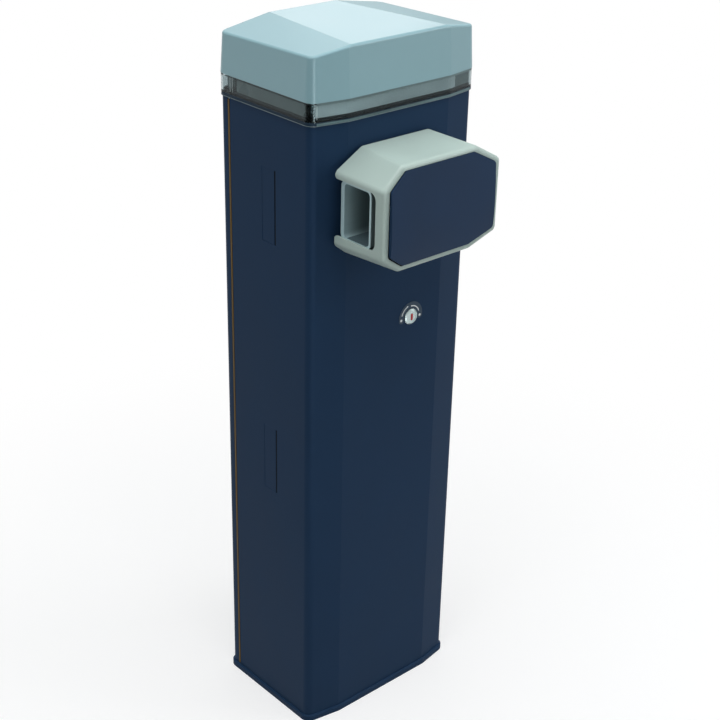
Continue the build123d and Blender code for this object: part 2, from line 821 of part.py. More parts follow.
# Drive motor: a ribbed can along X, flanged to the left side of the housing
motor_side_gap = 9.0
motor_offset = 3.0
motor_radius = (housing_rear_y - housing_front_y) / 2 - motor_side_gap
motor_y = (housing_rear_y + housing_front_y) / 2 + motor_offset
motor_drop = 162.0
motor_z = shaft_z - motor_drop
motor_end_gap = 5.7
motor_flange_x = -42.0
motor_groove_width = 5.0
motor_groove_depth = 3.0
motor_groove_count = 4
motor_cap_length = 14.0
motor_cap_step = 6.0
motor_cap_radius = motor_radius - motor_cap_step
motor_flange_radius = motor_cap_radius - motor_cap_step
channel_inner_x = inner_half - fit_gap - channel_wall
motor_length = channel_inner_x - motor_end_gap - motor_cap_length + motor_flange_x
motor_groove_pitch = motor_length / (motor_groove_count + 1)
with BuildPart() as motor:
    with BuildSketch(side_plane(motor_flange_x, motor_y, motor_z)):
        Circle(motor_radius)
    extrude(amount=-motor_length)
    for groove in range(motor_groove_count):
        groove_x = motor_flange_x - (groove + 1) * motor_groove_pitch - motor_groove_width / 2
        with BuildSketch(side_plane(groove_x, motor_y, motor_z)):
            Circle(motor_radius)
            Circle(motor_radius - motor_groove_depth, mode=Mode.SUBTRACT)
        extrude(amount=motor_groove_width, mode=Mode.SUBTRACT)
    with BuildSketch(side_plane(motor_flange_x, motor_y, motor_z)):
        Circle(motor_flange_radius)
    extrude(amount=-motor_flange_x + housing_foot_left)
    add(gear_housing.part, mode=Mode.SUBTRACT)

motor.part.label = "motor"
export_step(motor.part, "parts/motor.step")

with BuildPart() as motor_cap:
    with BuildSketch(side_plane(motor_flange_x - motor_length, motor_y, motor_z)):
        Circle(motor_cap_radius)
    extrude(amount=-motor_cap_length)
    fillet(motor_cap.edges().sort_by(Axis.X)[0], motor_cap_length / 2)

motor_cap.part.label = "motor_cap"
export_step(motor_cap.part, "parts/motor_cap.step")

# Main shaft with the flange that carries the boom head
shell_back_y = front_y - shell_back_gap
carrier_recess = 3.0
carrier_rear_y = shell_back_y - carrier_recess
carrier_thickness = 6.0
hub_radius = 38.0
hub_thickness = 6.0
with BuildPart() as boom_shaft:
    with BuildSketch(upright_plane(shaft_rear_y, shaft_z)):
        Circle(shaft_radius)
    extrude(amount=shaft_rear_y - carrier_rear_y)
    with BuildSketch(upright_plane(carrier_rear_y + hub_thickness, shaft_z)):
        Circle(hub_radius)
    extrude(amount=hub_thickness)

boom_shaft.part.label = "boom_shaft"
export_step(boom_shaft.part, "parts/boom_shaft.step")

# Shaft seal: the ring that closes the hole in the front cover
seal_ring_lap = 5.0
seal_ring_radius = cover_hole_radius + seal_ring_lap
seal_ring_thickness = 1.5
with BuildPart() as shaft_seal:
    with BuildSketch(upright_plane(front_y + sheet + seal_ring_thickness, shaft_z)):
        Circle(seal_ring_radius)
        Circle(shaft_radius + fit_gap, mode=Mode.SUBTRACT)
    extrude(amount=seal_ring_thickness)
    with BuildSketch(upright_plane(front_y + sheet, shaft_z)):
        Circle(cover_hole_radius - fit_gap)
        Circle(shaft_radius + fit_gap, mode=Mode.SUBTRACT)
    extrude(amount=sheet)

shaft_seal.part.label = "shaft_seal"
export_step(shaft_seal.part, "parts/shaft_seal.step")


def eight_sided(left, right, top, bottom, chamfers, corner):
    """An eight-sided outline with rounded corners, from its four sides and its four chamfers."""
    (left_run, left_drop), (right_run, right_drop), (right_foot, right_rise), (left_foot, left_rise) = chamfers
    with BuildSketch() as outline:
        with BuildLine():
            Polyline(
                (left + left_run, top),
                (right - right_run, top),
                (right, top - right_drop),
                (right, bottom + right_rise),
                (right - right_foot, bottom),
                (left + left_foot, bottom),
                (left, bottom + left_rise),
                (left, top - left_drop),
                close=True,
            )
        make_face()
        fillet(outline.vertices(), corner)
    return outline.sketch


def shell_outline(chamfers, inset):
    """The head shell's outline from the shaft's axis, inset on every side."""
    return eight_sided(
        -shell_left + inset,
        shell_right - inset,
        shell_top - inset,
        -shell_bottom + inset,
        chamfers,
        max(shell_corner - inset / 2, smallest_radius),
    )


def face_outline(inset):
    """The outline of the seat for the head's face, inset on every side."""
    return eight_sided(
        -shell_left + rim_left + inset,
        shell_right - rim_right - inset,
        shell_top - rim_top - inset,
        -shell_bottom + rim_bottom + inset,
        face_chamfers,
        face_corner,
    )


# Carrier plate between the shaft and the boom socket
carrier_width = 128.0
carrier_height_half = 62.0
carrier_corner = 12.0
carrier_front_y = carrier_rear_y - carrier_thickness
socket_bolt_x = 28.0
socket_bolt_z = 22.0
socket_bolt_radius = 4.0
socket_bolt_head_radius = 7.0
socket_bolt_head_height = 4.5
shell_post_radius = 5.0
shell_post_x = 52.0
shell_post_z = 54.0
shell_screw_radius = 2.0
with BuildPart() as carrier_plate:
    with BuildSketch(upright_plane(carrier_rear_y, shaft_z)):
        RectangleRounded(carrier_width, 2 * carrier_height_half, carrier_corner)
        with GridLocations(2 * socket_bolt_x, 2 * socket_bolt_z, 2, 2):
            Circle(socket_bolt_radius + running_gap, mode=Mode.SUBTRACT)
        with GridLocations(2 * shell_post_x, 2 * shell_post_z, 2, 2):
            Circle(shell_screw_radius + running_gap, mode=Mode.SUBTRACT)
    extrude(amount=carrier_thickness)

carrier_plate.part.label = "carrier_plate"
export_step(carrier_plate.part, "parts/carrier_plate.step")

# Boom socket: the aluminium pocket that the boom slides into from the left
socket_depth = socket_back_wall + socket_inner_depth + socket_front_wall
socket_height = socket_inner_height + 2 * socket_side_wall
socket_left_x = -shell_left + shell_wall + fit_gap
with BuildPart() as boom_socket:
    with BuildSketch(side_plane(socket_left_x, carrier_front_y, shaft_z)):
        with Locations((-socket_depth / 2, 0)):
            RectangleRounded(socket_depth, socket_height, socket_corner)
        with Locations((-socket_back_wall - socket_inner_depth / 2, 0)):
            RectangleRounded(
                socket_inner_depth, socket_inner_height, socket_inner_corner, mode=Mode.SUBTRACT
            )
    extrude(amount=socket_length)
    with BuildSketch(upright_plane(carrier_front_y, shaft_z)):
        with GridLocations(2 * socket_bolt_x, 2 * socket_bolt_z, 2, 2):
            Circle(socket_bolt_radius + running_gap)
    extrude(amount=socket_back_wall, mode=Mode.SUBTRACT)
    with BuildSketch(upright_plane(carrier_front_y - socket_back_wall + socket_bolt_head_height, shaft_z)):
        with GridLocations(2 * socket_bolt_x, 2 * socket_bolt_z, 2, 2):
            Circle(socket_bolt_head_radius + fit_gap)
    extrude(amount=socket_bolt_head_height, mode=Mode.SUBTRACT)

boom_socket.part.label = "boom_socket"
export_step(boom_socket.part, "parts/boom_socket.step")

# Socket bolts, with their heads sunk in the socket's back wall
socket_seat_y = carrier_front_y - socket_back_wall + socket_bolt_head_height
socket_bolt_sink = 0.5
with BuildPart() as socket_bolts:
    with BuildSketch(upright_plane(carrier_rear_y, shaft_z)):
        with GridLocations(2 * socket_bolt_x, 2 * socket_bolt_z, 2, 2):
            Circle(socket_bolt_radius)
    extrude(amount=carrier_rear_y - socket_seat_y)
    with BuildSketch(upright_plane(socket_seat_y, shaft_z)):
        with GridLocations(2 * socket_bolt_x, 2 * socket_bolt_z, 2, 2):
            Circle(socket_bolt_head_radius)
    extrude(amount=socket_bolt_head_height - socket_bolt_sink)

socket_bolts.part.label = "socket_bolts"
export_step(socket_bolts.part, "parts/socket_bolts.step")

# Head shell: the moulded housing, open at the back and at its left end for the boom
shell_front_y = shell_back_y - shell_depth
face_seat = 3.0
front_wall = face_seat + shell_wall
mouth_margin = 4.0
mouth_height = socket_inner_height + mouth_margin
mouth_rise = 1.5
mouth_front_gap = 15.0
mouth_corner = 11.0
mouth_lip = 5.0
mouth_reach = 14.0
with BuildPart() as head_cavity:
    with BuildSketch(upright_plane(shell_back_y, shaft_z)):
        add(shell_outline(shell_back_chamfers, shell_wall))
    with BuildSketch(upright_plane(shell_front_y + front_wall, shaft_z)):
        add(shell_outline(shell_front_chamfers, shell_wall))
    loft(ruled=True)
    with BuildSketch(upright_plane(shell_back_y, shaft_z)):
        with GridLocations(2 * shell_post_x, 2 * shell_post_z, 2, 2):
            Circle(shell_post_radius)
    extrude(amount=shell_depth, mode=Mode.SUBTRACT)

with BuildPart() as head_shell:
    with BuildSketch(upright_plane(shell_back_y, shaft_z)):
        add(shell_outline(shell_back_chamfers, 0))
    with BuildSketch(upright_plane(shell_front_y, shaft_z)):
        add(shell_outline(shell_front_chamfers, 0))
    loft(ruled=True)
    fillet(head_shell.faces().sort_by(Axis.Y)[0].edges(), shell_round)
    add(head_cavity.part, mode=Mode.SUBTRACT)
    with BuildSketch(upright_plane(carrier_front_y, shaft_z)):
        with GridLocations(2 * shell_post_x, 2 * shell_post_z, 2, 2):
            Circle(shell_post_radius + shell_wall / 3)
    extrude(amount=carrier_front_y - shell_back_y, mode=Mode.SUBTRACT)
    with BuildSketch(upright_plane(carrier_front_y, shaft_z)):
        with GridLocations(2 * shell_post_x, 2 * shell_post_z, 2, 2):
            Circle(shell_screw_radius + running_gap)
    extrude(amount=boss_depth, mode=Mode.SUBTRACT)
    with BuildSketch(upright_plane(shell_front_y + face_seat, shaft_z)):
        add(face_outline(0))
    extrude(amount=face_seat + overrun, mode=Mode.SUBTRACT)
    mouth_depth = shell_depth - mouth_front_gap
    mouth_z = shaft_z + mouth_rise
    with BuildSketch(side_plane(-shell_left - overrun, shell_back_y, mouth_z)):
        with Locations((overrun, 0)):
            RectangleRounded(
                mouth_depth + overrun, mouth_height, mouth_corner, align=(Align.MAX, Align.CENTER)
            )
        Rectangle(mouth_depth / 2, mouth_height, align=(Align.MAX, Align.CENTER))
    extrude(amount=overrun + mouth_reach, mode=Mode.SUBTRACT)
    lips = head_shell.edges().filter_by(Axis.X).filter_by(
        lambda e: abs(e.center().Y - shell_back_y) < fit_gap
        and abs(abs(e.center().Z - mouth_z) - mouth_height / 2) < fit_gap
    )
    fillet(lips, mouth_lip)

head_shell.part.label = "head_shell"
export_step(head_shell.part, "parts/head_shell.step")

# Shell screws, through the carrier plate into the shell's posts
shell_screw_head_radius = 3.5
shell_screw_head_height = 2.0
with BuildPart() as shell_screws:
    with BuildSketch(upright_plane(carrier_rear_y, shaft_z)):
        with GridLocations(2 * shell_post_x, 2 * shell_post_z, 2, 2):
            Circle(shell_screw_radius)
    extrude(amount=carrier_thickness + boss_depth - fit_gap)
    with BuildSketch(upright_plane(carrier_rear_y + shell_screw_head_height, shaft_z)):
        with GridLocations(2 * shell_post_x, 2 * shell_post_z, 2, 2):
            Circle(shell_screw_head_radius)
    extrude(amount=shell_screw_head_height)

shell_screws.part.label = "shell_screws"
export_step(shell_screws.part, "parts/shell_screws.step")

# Head face: the crowned cover plate set into the front of the shell
face_crown = 3.0
face_edge_stand = 0.6
face_gap = 0.4
face_back_y = shell_front_y + face_seat
face_bend_share = 0.3
with BuildPart() as head_face:
    with BuildSketch(side_plane(-body_width / 2, face_back_y, shaft_z)):
        with BuildLine():
            low = -shell_bottom
            high = shell_top
            edge = -face_seat - face_edge_stand
            crown = edge - face_crown
            bend_low = low * (1 - face_bend_share)
            bend_high = high * (1 - 2 * face_bend_share)
            Polyline((edge, low), (0, low), (0, high), (edge, high))
            Spline(
                (edge, low),
                (crown, bend_low),
                (crown, bend_high),
                (edge, high),
            )
        make_face()
    extrude(amount=body_width)
    with BuildSketch(upright_plane(face_back_y, shaft_z)):
        add(face_outline(face_gap))
    extrude(amount=shell_depth, mode=Mode.INTERSECT)

head_face.part.label = "head_face"
export_step(head_face.part, "parts/head_face.step")

# Balance lever on the shaft, behind the gear cover
lever_stand = 4.0
lever_front_y = cover_rear_y + lever_stand
lever_rear_y = lever_front_y + lever_thickness
lever_angle = radians(lever_rest_angle)
pin_x = lever_length * cos(lever_angle)
pin_z = lever_length * sin(lever_angle)
with BuildPart() as balance_lever:
    with BuildSketch(upright_plane(lever_rear_y, shaft_z)):
        Circle(lever_hub_radius)
        with Locations((pin_x, pin_z)):
            Circle(lever_eye_radius)
        make_hull()
        Circle(shaft_radius + running_gap, mode=Mode.SUBTRACT)
        with Locations((pin_x, pin_z)):
            Circle(pin_radius + running_gap, mode=Mode.SUBTRACT)
    extrude(amount=lever_thickness)

balance_lever.part.label = "balance_lever"
export_step(balance_lever.part, "parts/balance_lever.step")

# Lever pin with its head in front and its retaining ring behind the rod's eye
rod_stand = 3.0
rod_front_y = lever_rear_y + rod_stand
rod_rear_y = rod_front_y + rod_eye_thickness
rod_y = (rod_front_y + rod_rear_y) / 2
pin_head_height = 3.0
pin_head_radius = 9.0
ring_height = 1.5
with BuildPart() as lever_pin:
    with BuildSketch(upright_plane(rod_rear_y + fit_gap + ring_height, shaft_z)):
        with Locations((pin_x, pin_z)):
            Circle(pin_head_radius)
    extrude(amount=ring_height)
    with BuildSketch(upright_plane(rod_rear_y + fit_gap, shaft_z)):
        with Locations((pin_x, pin_z)):
            Circle(pin_radius)
    extrude(amount=rod_rear_y + fit_gap - lever_front_y)
    with BuildSketch(upright_plane(lever_front_y, shaft_z)):
        with Locations((pin_x, pin_z)):
            Circle(pin_head_radius)
    extrude(amount=pin_head_height)

lever_pin.part.label = "lever_pin"
export_step(lever_pin.part, "parts/lever_pin.step")

# Tie rod: an eye on the lever pin, a rod and the plug that holds the spring's top
plug_height = 10.0
plug_rim = spring_radius + wire_radius
rod_nut_height = 8.0
rod_nut_radius = 11.0
with BuildPart() as tie_rod:
    with BuildSketch(upright_plane(rod_rear_y, shaft_z + pin_z)):
        with Locations((pin_x, 0)):
            Circle(rod_eye_radius)
    extrude(amount=rod_eye_thickness)
    rod_top = shaft_z + pin_z - (pin_radius + rod_eye_radius) / 2
    with BuildSketch(Plane.XY.offset(spring_top)):
        with Locations((pin_x, rod_y)):
            Circle(rod_radius)
    extrude(amount=rod_top - spring_top)
    with BuildSketch(upright_plane(rod_rear_y + rod_radius, shaft_z + pin_z)):
        with Locations((pin_x, 0)):
            Circle(pin_radius + running_gap)
    extrude(amount=rod_eye_thickness + 2 * rod_radius, mode=Mode.SUBTRACT)

tie_rod.part.label = "tie_rod"
export_step(tie_rod.part, "parts/tie_rod.step")

with BuildPart() as spring_plug:
    with BuildSketch(Plane.XY.offset(spring_top)):
        with Locations((pin_x, rod_y)):
            Circle(plug_rim)
            Circle(rod_radius + running_gap, mode=Mode.SUBTRACT)
    extrude(amount=plug_height)
    with BuildSketch(Plane.XY.offset(spring_top + plug_height)):
        with Locations((pin_x, rod_y)):
            RegularPolygon(rod_nut_radius, 6)
            Circle(rod_radius + running_gap, mode=Mode.SUBTRACT)
    extrude(amount=rod_nut_height)

spring_plug.part.label = "spring_plug"
export_step(spring_plug.part, "parts/spring_plug.step")


def helix_point(turn):
    """A point of the spring's centre line after so many turns."""
    rise = (spring_top - spring_bottom - 2 * (wire_radius + fit_gap)) / spring_turns
    angle = 2 * pi * turn
    return Vector(
        pin_x + spring_radius * cos(angle),
        rod_y + spring_radius * sin(angle),
        spring_bottom + wire_radius + fit_gap + rise * turn,
    )


def helix_tangent(turn):
    """The direction of the spring's centre line after so many turns."""
    rise = (spring_top - spring_bottom - 2 * (wire_radius + fit_gap)) / spring_turns
    angle = 2 * pi * turn
    run = 2 * pi * spring_radius
    return Vector(-run * sin(angle), run * cos(angle), rise).normalized()


def biarc_middle(start, start_way, end, end_way):
    """The point where two equal-tangent arcs between two directed points meet."""
    across = end - start
    both = start_way + end_way
    spread = 1 - start_way.dot(end_way)
    along = across.dot(both)
    reach = (sqrt(along * along + 2 * spread * across.dot(across)) - along) / (2 * spread)
    return (start + end + (start_way - end_way) * reach) / 2


def spring_gap():
    """The least gap between the wire of neighbouring turns, measured on points."""
    steps = 16
    points = [helix_point(step / steps) for step in range(int(steps * spring_turns) + 1)]
    far = range(steps // 2, steps * 2)
    gaps = [
        dist(tuple(points[i]), tuple(points[i + ahead]))
        for i in range(len(points))
        for ahead in far
        if i + ahead < len(points)
    ]
    return min(gaps) - 2 * wire_radius


# Balance spring: one wire swept on half-turn biarcs
with BuildPart() as balance_spring:
    with BuildLine() as spring_line:
        for half in range(2 * spring_turns):
            start = helix_point(half / 2)
            end = helix_point((half + 1) / 2)
            start_way = helix_tangent(half / 2)
            end_way = helix_tangent((half + 1) / 2)
            middle = biarc_middle(start, start_way, end, end_way)
            TangentArc(start, middle, tangent=start_way)
            TangentArc(end, middle, tangent=end_way * -1)
    with BuildSketch(Plane(origin=helix_point(0), z_dir=helix_tangent(0))):
        Circle(wire_radius)
    sweep(path=spring_line.wires()[0])

balance_spring.part.label = "balance_spring"
export_step(balance_spring.part, "parts/balance_spring.step")
print("balance spring, least gap between turns:", round(spring_gap(), 2))

# Spring anchor: a foot on the base, a threaded stud and the cup under the spring
anchor_foot_width = 56.0
anchor_foot_depth = 44.0
anchor_foot_thickness = 6.0
anchor_stud_radius = 7.0
anchor_cup_height = 10.0
with BuildPart() as spring_anchor:
    with BuildSketch(Plane.XY.offset(base_height)):
        with Locations((pin_x, rod_y)):
            RectangleRounded(anchor_foot_width, anchor_foot_depth, smallest_radius)
    extrude(amount=anchor_foot_thickness)
    with BuildSketch(Plane.XY.offset(base_height)):
        with Locations((pin_x, rod_y)):
            Circle(anchor_stud_radius)
    extrude(amount=spring_bottom - base_height)
    with BuildSketch(Plane.XY.offset(spring_bottom)):
        with Locations((pin_x, rod_y)):
            Circle(plug_rim)
    extrude(amount=-anchor_cup_height)

spring_anchor.part.label = "spring_anchor"
export_step(spring_anchor.part, "parts/spring_anchor.step")

# Adjusting nuts on the anchor's stud
nut_radius = 13.0
nut_height = 9.0
nut_stack_z = spring_bottom - anchor_cup_height - nut_height - fit_gap
with BuildPart() as anchor_nuts:
    for nut_z in (nut_stack_z, base_height + anchor_foot_thickness):
        with BuildSketch(Plane.XY.offset(nut_z)):
            with Locations((pin_x, rod_y)):
                RegularPolygon(nut_radius, 6)
                Circle(anchor_stud_radius + running_gap, mode=Mode.SUBTRACT)
        extrude(amount=nut_height)

anchor_nuts.part.label = "anchor_nuts"
export_step(anchor_nuts.part, "parts/anchor_nuts.step")

# End stops: two rubber rollers on studs, which the lever's arm meets at its limits
buffer_radius = 9.0
buffer_arm = 50.0
arm_half = lever_hub_radius - (lever_hub_radius - lever_eye_radius) * buffer_arm / lever_length
arm_taper = (lever_hub_radius - lever_eye_radius) / lever_length
buffer_side = (arm_half + buffer_radius + fit_gap) / sqrt(1 - arm_taper * arm_taper) + fit_gap
buffer_x = buffer_arm * cos(lever_angle) - buffer_side * sin(lever_angle)
buffer_z = buffer_arm * sin(lever_angle) + buffer_side * cos(lever_angle)
stud_radius = 4.0
buffer_short = 1.0
buffer_rear_y = lever_rear_y - buffer_short
with BuildPart() as stop_buffers:
    with BuildSketch(upright_plane(buffer_rear_y, shaft_z)):
        with Locations((buffer_x, buffer_z), (buffer_x, -buffer_z)):
            Circle(buffer_radius)
            Circle(stud_radius + running_gap, mode=Mode.SUBTRACT)
    extrude(amount=buffer_rear_y - cover_rear_y)

stop_buffers.part.label = "stop_buffers"
export_step(stop_buffers.part, "parts/stop_buffers.step")

with BuildPart() as stop_studs:
    with BuildSketch(upright_plane(buffer_rear_y, shaft_z)):
        with Locations((buffer_x, buffer_z), (buffer_x, -buffer_z)):
            Circle(stud_radius)
    extrude(amount=buffer_rear_y - cover_rear_y)
    with BuildSketch(upright_plane(buffer_rear_y + ring_height, shaft_z)):
        with Locations((buffer_x, buffer_z), (buffer_x, -buffer_z)):
            Circle(stud_radius * 3 / 2)
    extrude(amount=ring_height)

stop_studs.part.label = "stop_studs"
export_step(stop_studs.part, "parts/stop_studs.step")

# Limit cams on the end of the shaft, each with a flat where its switch opens
cam_radius = 24.0
cam_thickness = 6.0
cam_gap = 2.0
cam_flat = 3.0
cam_end_gap = 1.5
cam_front_y = shaft_rear_y - 2 * cam_thickness - cam_gap - cam_end_gap
cam_angles = (0, 90)
with BuildPart() as limit_cams:
    for index, angle in enumerate(cam_angles):
        cam_rear_y = cam_front_y + (index + 1) * cam_thickness + index * cam_gap
        with BuildSketch(upright_plane(cam_rear_y, shaft_z)):
            Circle(cam_radius)
            Circle(shaft_radius + running_gap, mode=Mode.SUBTRACT)
            with Locations(Rotation(0, 0, angle)):
                with Locations((0, cam_radius - cam_flat)):
                    Rectangle(
                        2 * cam_radius, cam_radius, align=(Align.CENTER, Align.MIN), mode=Mode.SUBTRACT
                    )
        extrude(amount=cam_thickness)

limit_cams.part.label = "limit_cams"
export_step(limit_cams.part, "parts/limit_cams.step")

# Switch bracket on the gear cover, and the two switches that the cams work
bracket_wall = 3.0
bracket_x = -58.0
bracket_half = 20.0
roller_radius = 3.0
switch_height = 28.0
switch_reach = -bracket_x - bracket_wall - cam_radius - 2 * roller_radius - fit_gap
with BuildPart() as switch_bracket:
    with BuildSketch(side_plane(bracket_x, cover_rear_y, shaft_z)):
        Rectangle(shaft_rear_y - cover_rear_y, 2 * bracket_half, align=(Align.MIN, Align.CENTER))
    extrude(amount=bracket_wall)
    with BuildSketch(upright_plane(cover_rear_y + bracket_wall, shaft_z)):
        with Locations((bracket_x, 0)):
            Rectangle(
                -bracket_x - lever_hub_radius - 2 * bracket_wall,
                2 * bracket_half,
                align=(Align.MIN, Align.CENTER),
            )
    extrude(amount=bracket_wall)

switch_bracket.part.label = "switch_bracket"
export_step(switch_bracket.part, "parts/switch_bracket.step")

with BuildPart() as limit_switches:
    for index in range(2):
        switch_y = cam_front_y + index * (cam_thickness + cam_gap)
        with BuildSketch(side_plane(bracket_x + bracket_wall, switch_y, shaft_z)):
            Rectangle(cam_thickness, switch_height, align=(Align.MIN, Align.CENTER))
        extrude(amount=switch_reach)
        with BuildSketch(upright_plane(switch_y + cam_thickness, shaft_z)):
            with Locations((-cam_radius - fit_gap - roller_radius, 0)):
                Circle(roller_radius)
        extrude(amount=cam_thickness)

limit_switches.part.label = "limit_switches"
export_step(limit_switches.part, "parts/limit_switches.step")

# Release lock: a housing with a nut in the cover, a plug that turns and the shaft it drives
lock_front_y = front_y - lock_stand
lock_length = 14.0
lock_rear_y = front_y + lock_length
plug_sink = 0.6
key_slot_width = 2.4
key_slot_height = 10.0
key_slot_depth = 3.0
with BuildPart() as lock_housing:
    with BuildSketch(upright_plane(lock_rear_y)):
        with Locations((lock_x, lock_z)):
            Circle(lock_radius)
            Circle(plug_radius + running_gap, mode=Mode.SUBTRACT)
    extrude(amount=lock_rear_y - lock_front_y)
    chamfer(lock_housing.faces().sort_by(Axis.Y)[0].outer_wire().edges(), length=lock_bezel)

lock_housing.part.label = "lock_housing"
export_step(lock_housing.part, "parts/lock_housing.step")

lock_nut_radius = 17.0
lock_nut_height = 5.0
with BuildPart() as lock_nut:
    with BuildSketch(upright_plane(front_y + sheet + lock_nut_height)):
        with Locations((lock_x, lock_z)):
            RegularPolygon(lock_nut_radius, 6)
            Circle(lock_radius + running_gap, mode=Mode.SUBTRACT)
    extrude(amount=lock_nut_height)

lock_nut.part.label = "lock_nut"
export_step(lock_nut.part, "parts/lock_nut.step")

with BuildPart() as lock_plug:
    with BuildSketch(upright_plane(lock_rear_y)):
        with Locations((lock_x, lock_z)):
            Circle(plug_radius)
    extrude(amount=lock_rear_y - lock_front_y - plug_sink)
    with BuildSketch(upright_plane(lock_front_y + plug_sink + key_slot_depth)):
        with Locations((lock_x, lock_z)):
            Rectangle(key_slot_width, key_slot_height)
    extrude(amount=key_slot_depth, mode=Mode.SUBTRACT)

lock_plug.part.label = "lock_plug"
export_step(lock_plug.part, "parts/lock_plug.step")

release_end_gap = 2.0
with BuildPart() as release_shaft:
    with BuildSketch(upright_plane(housing_front_y + release_depth - release_end_gap)):
        with Locations((lock_x, lock_z)):
            Circle(release_radius)
    extrude(amount=housing_front_y + release_depth - release_end_gap - lock_rear_y)

release_shaft.part.label = "release_shaft"
export_step(release_shaft.part, "parts/release_shaft.step")

# Lock label: a thin arc over the lock that ends in two round pads
label_gap = 1.0
label_inner = lock_radius + label_gap
label_outer = 23.0
label_thickness = 0.5
label_sweep = 196.0
label_middle = 90.0
with BuildPart() as lock_label:
    with BuildSketch(upright_plane(front_y, lock_z)):
        with BuildLine():
            ends = (label_middle - label_sweep / 2, label_middle + label_sweep / 2)
            tips = [
                [
                    (lock_x + radius * cos(radians(angle)), radius * sin(radians(angle)))
                    for angle in (ends[0], label_middle, ends[1])
                ]
                for radius in (label_inner, label_outer)
            ]
            ThreePointArc(*tips[0])
            ThreePointArc(*tips[1])
            Line(tips[0][0], tips[1][0])
            Line(tips[0][2], tips[1][2])
        make_face()
        for end in (0, 2):
            pad_x = (tips[0][end][0] + tips[1][end][0]) / 2
            pad_z = (tips[0][end][1] + tips[1][end][1]) / 2
            with Locations((pad_x, pad_z)):
                Circle((label_outer - label_inner) / 2)
    extrude(amount=label_thickness)

lock_label.part.label = "lock_label"
export_step(lock_label.part, "parts/lock_label.step")

# Control unit: a bracket on the left upright, a tray, the board and its terminals
bracket_left = -channel_inner_x
tray_side_gap = 25.7
tray_left = bracket_left + tray_side_gap
tray_right = 8.0
tray_bottom = 330.0
tray_top = 560.0
tray_setback = 85.0
tray_front_y = body_depth / 2 - tray_setback
tray_wall = 2.5
tray_rim = 22.0
tray_corner = 8.0
tray_middle_x = (tray_left + tray_right) / 2
tray_middle_z = (tray_bottom + tray_top) / 2
tray_width = tray_right - tray_left
tray_height = tray_top - tray_bottom
bracket_thickness = 3.0
bracket_strip = 30.0
with BuildPart() as control_bracket:
    for strip_z in (tray_bottom + bracket_strip, tray_top - bracket_strip):
        with BuildSketch(upright_plane(tray_front_y, strip_z)):
            with Locations((bracket_left, 0)):
                Rectangle(tray_middle_x - bracket_left, bracket_strip, align=(Align.MIN, Align.CENTER))
        extrude(amount=bracket_thickness)
        with BuildSketch(side_plane(bracket_left, tray_front_y, strip_z)):
            Rectangle(bracket_strip, bracket_strip, align=(Align.MIN, Align.CENTER))
        extrude(amount=bracket_thickness)

control_bracket.part.label = "control_bracket"
export_step(control_bracket.part, "parts/control_bracket.step")

post_stand = 6.0
board_inset = 8.0
board_post_x = tray_width / 2 - 2 * board_inset
board_post_z = tray_height / 2 - 2 * board_inset
board_post_radius = 3.0
with BuildPart() as control_tray:
    with BuildSketch(upright_plane(tray_front_y + tray_rim, tray_middle_z)):
        with Locations((tray_middle_x, 0)):
            RectangleRounded(tray_width, tray_height, tray_corner)
            RectangleRounded(
                tray_width - 2 * tray_wall,
                tray_height - 2 * tray_wall,
                tray_corner - tray_wall,
                mode=Mode.SUBTRACT,
            )
    extrude(amount=tray_rim)
    with BuildSketch(upright_plane(tray_front_y + tray_wall, tray_middle_z)):
        with Locations((tray_middle_x, 0)):
            RectangleRounded(tray_width, tray_height, tray_corner)
    extrude(amount=tray_wall)
    with BuildSketch(upright_plane(tray_front_y + tray_wall + post_stand, tray_middle_z)):
        with Locations((tray_middle_x, 0)):
            with GridLocations(2 * board_post_x, 2 * board_post_z, 2, 2):
                Circle(board_post_radius)
    extrude(amount=post_stand)

control_tray.part.label = "control_tray"
export_step(control_tray.part, "parts/control_tray.step")

board_thickness = 1.6
board_front_y = tray_front_y + tray_wall + post_stand
board_rear_y = board_front_y + board_thickness
# Components: share of the board's width and height from its middle, then width, height and stand
component_shares = (
    (-0.28, 0.3, 0.3, 0.14, 1.0),
    (0.12, 0.32, 0.12, 0.1, 0.8),
    (0.32, 0.32, 0.12, 0.1, 0.8),
    (-0.3, 0.05, 0.16, 0.16, 1.6),
    (0.02, 0.06, 0.16, 0.16, 0.5),
    (0.3, 0.08, 0.2, 0.2, 1.1),
    (-0.15, -0.16, 0.4, 0.08, 0.6),
)
component_stand = 16.0
with BuildPart() as control_board:
    board_width = tray_width - 2 * board_inset
    board_height = tray_height - 2 * board_inset
    with BuildSketch(upright_plane(board_rear_y, tray_middle_z)):
        with Locations((tray_middle_x, 0)):
            Rectangle(board_width, board_height)
    extrude(amount=board_thickness)
    for x_share, z_share, width_share, height_share, stand_share in component_shares:
        stand = component_stand * stand_share
        with BuildSketch(upright_plane(board_rear_y + stand, tray_middle_z)):
            with Locations((tray_middle_x + x_share * board_width, z_share * board_height)):
                Rectangle(width_share * board_width, height_share * board_height)
        extrude(amount=stand)

control_board.part.label = "control_board"
export_step(control_board.part, "parts/control_board.step")

terminal_count = 3
terminal_height = 14.0
terminal_stand = 12.0
terminal_pitch = board_width / terminal_count
terminal_z = -board_height / 2 + terminal_height
with BuildPart() as terminal_blocks:
    with BuildSketch(upright_plane(board_rear_y + terminal_stand, tray_middle_z)):
        with Locations((tray_middle_x, terminal_z)):
            with GridLocations(terminal_pitch, terminal_height, terminal_count, 1):
                Rectangle(terminal_pitch - board_inset / 2, terminal_height)
    extrude(amount=terminal_stand)

terminal_blocks.part.label = "terminal_blocks"
export_step(terminal_blocks.part, "parts/terminal_blocks.step")

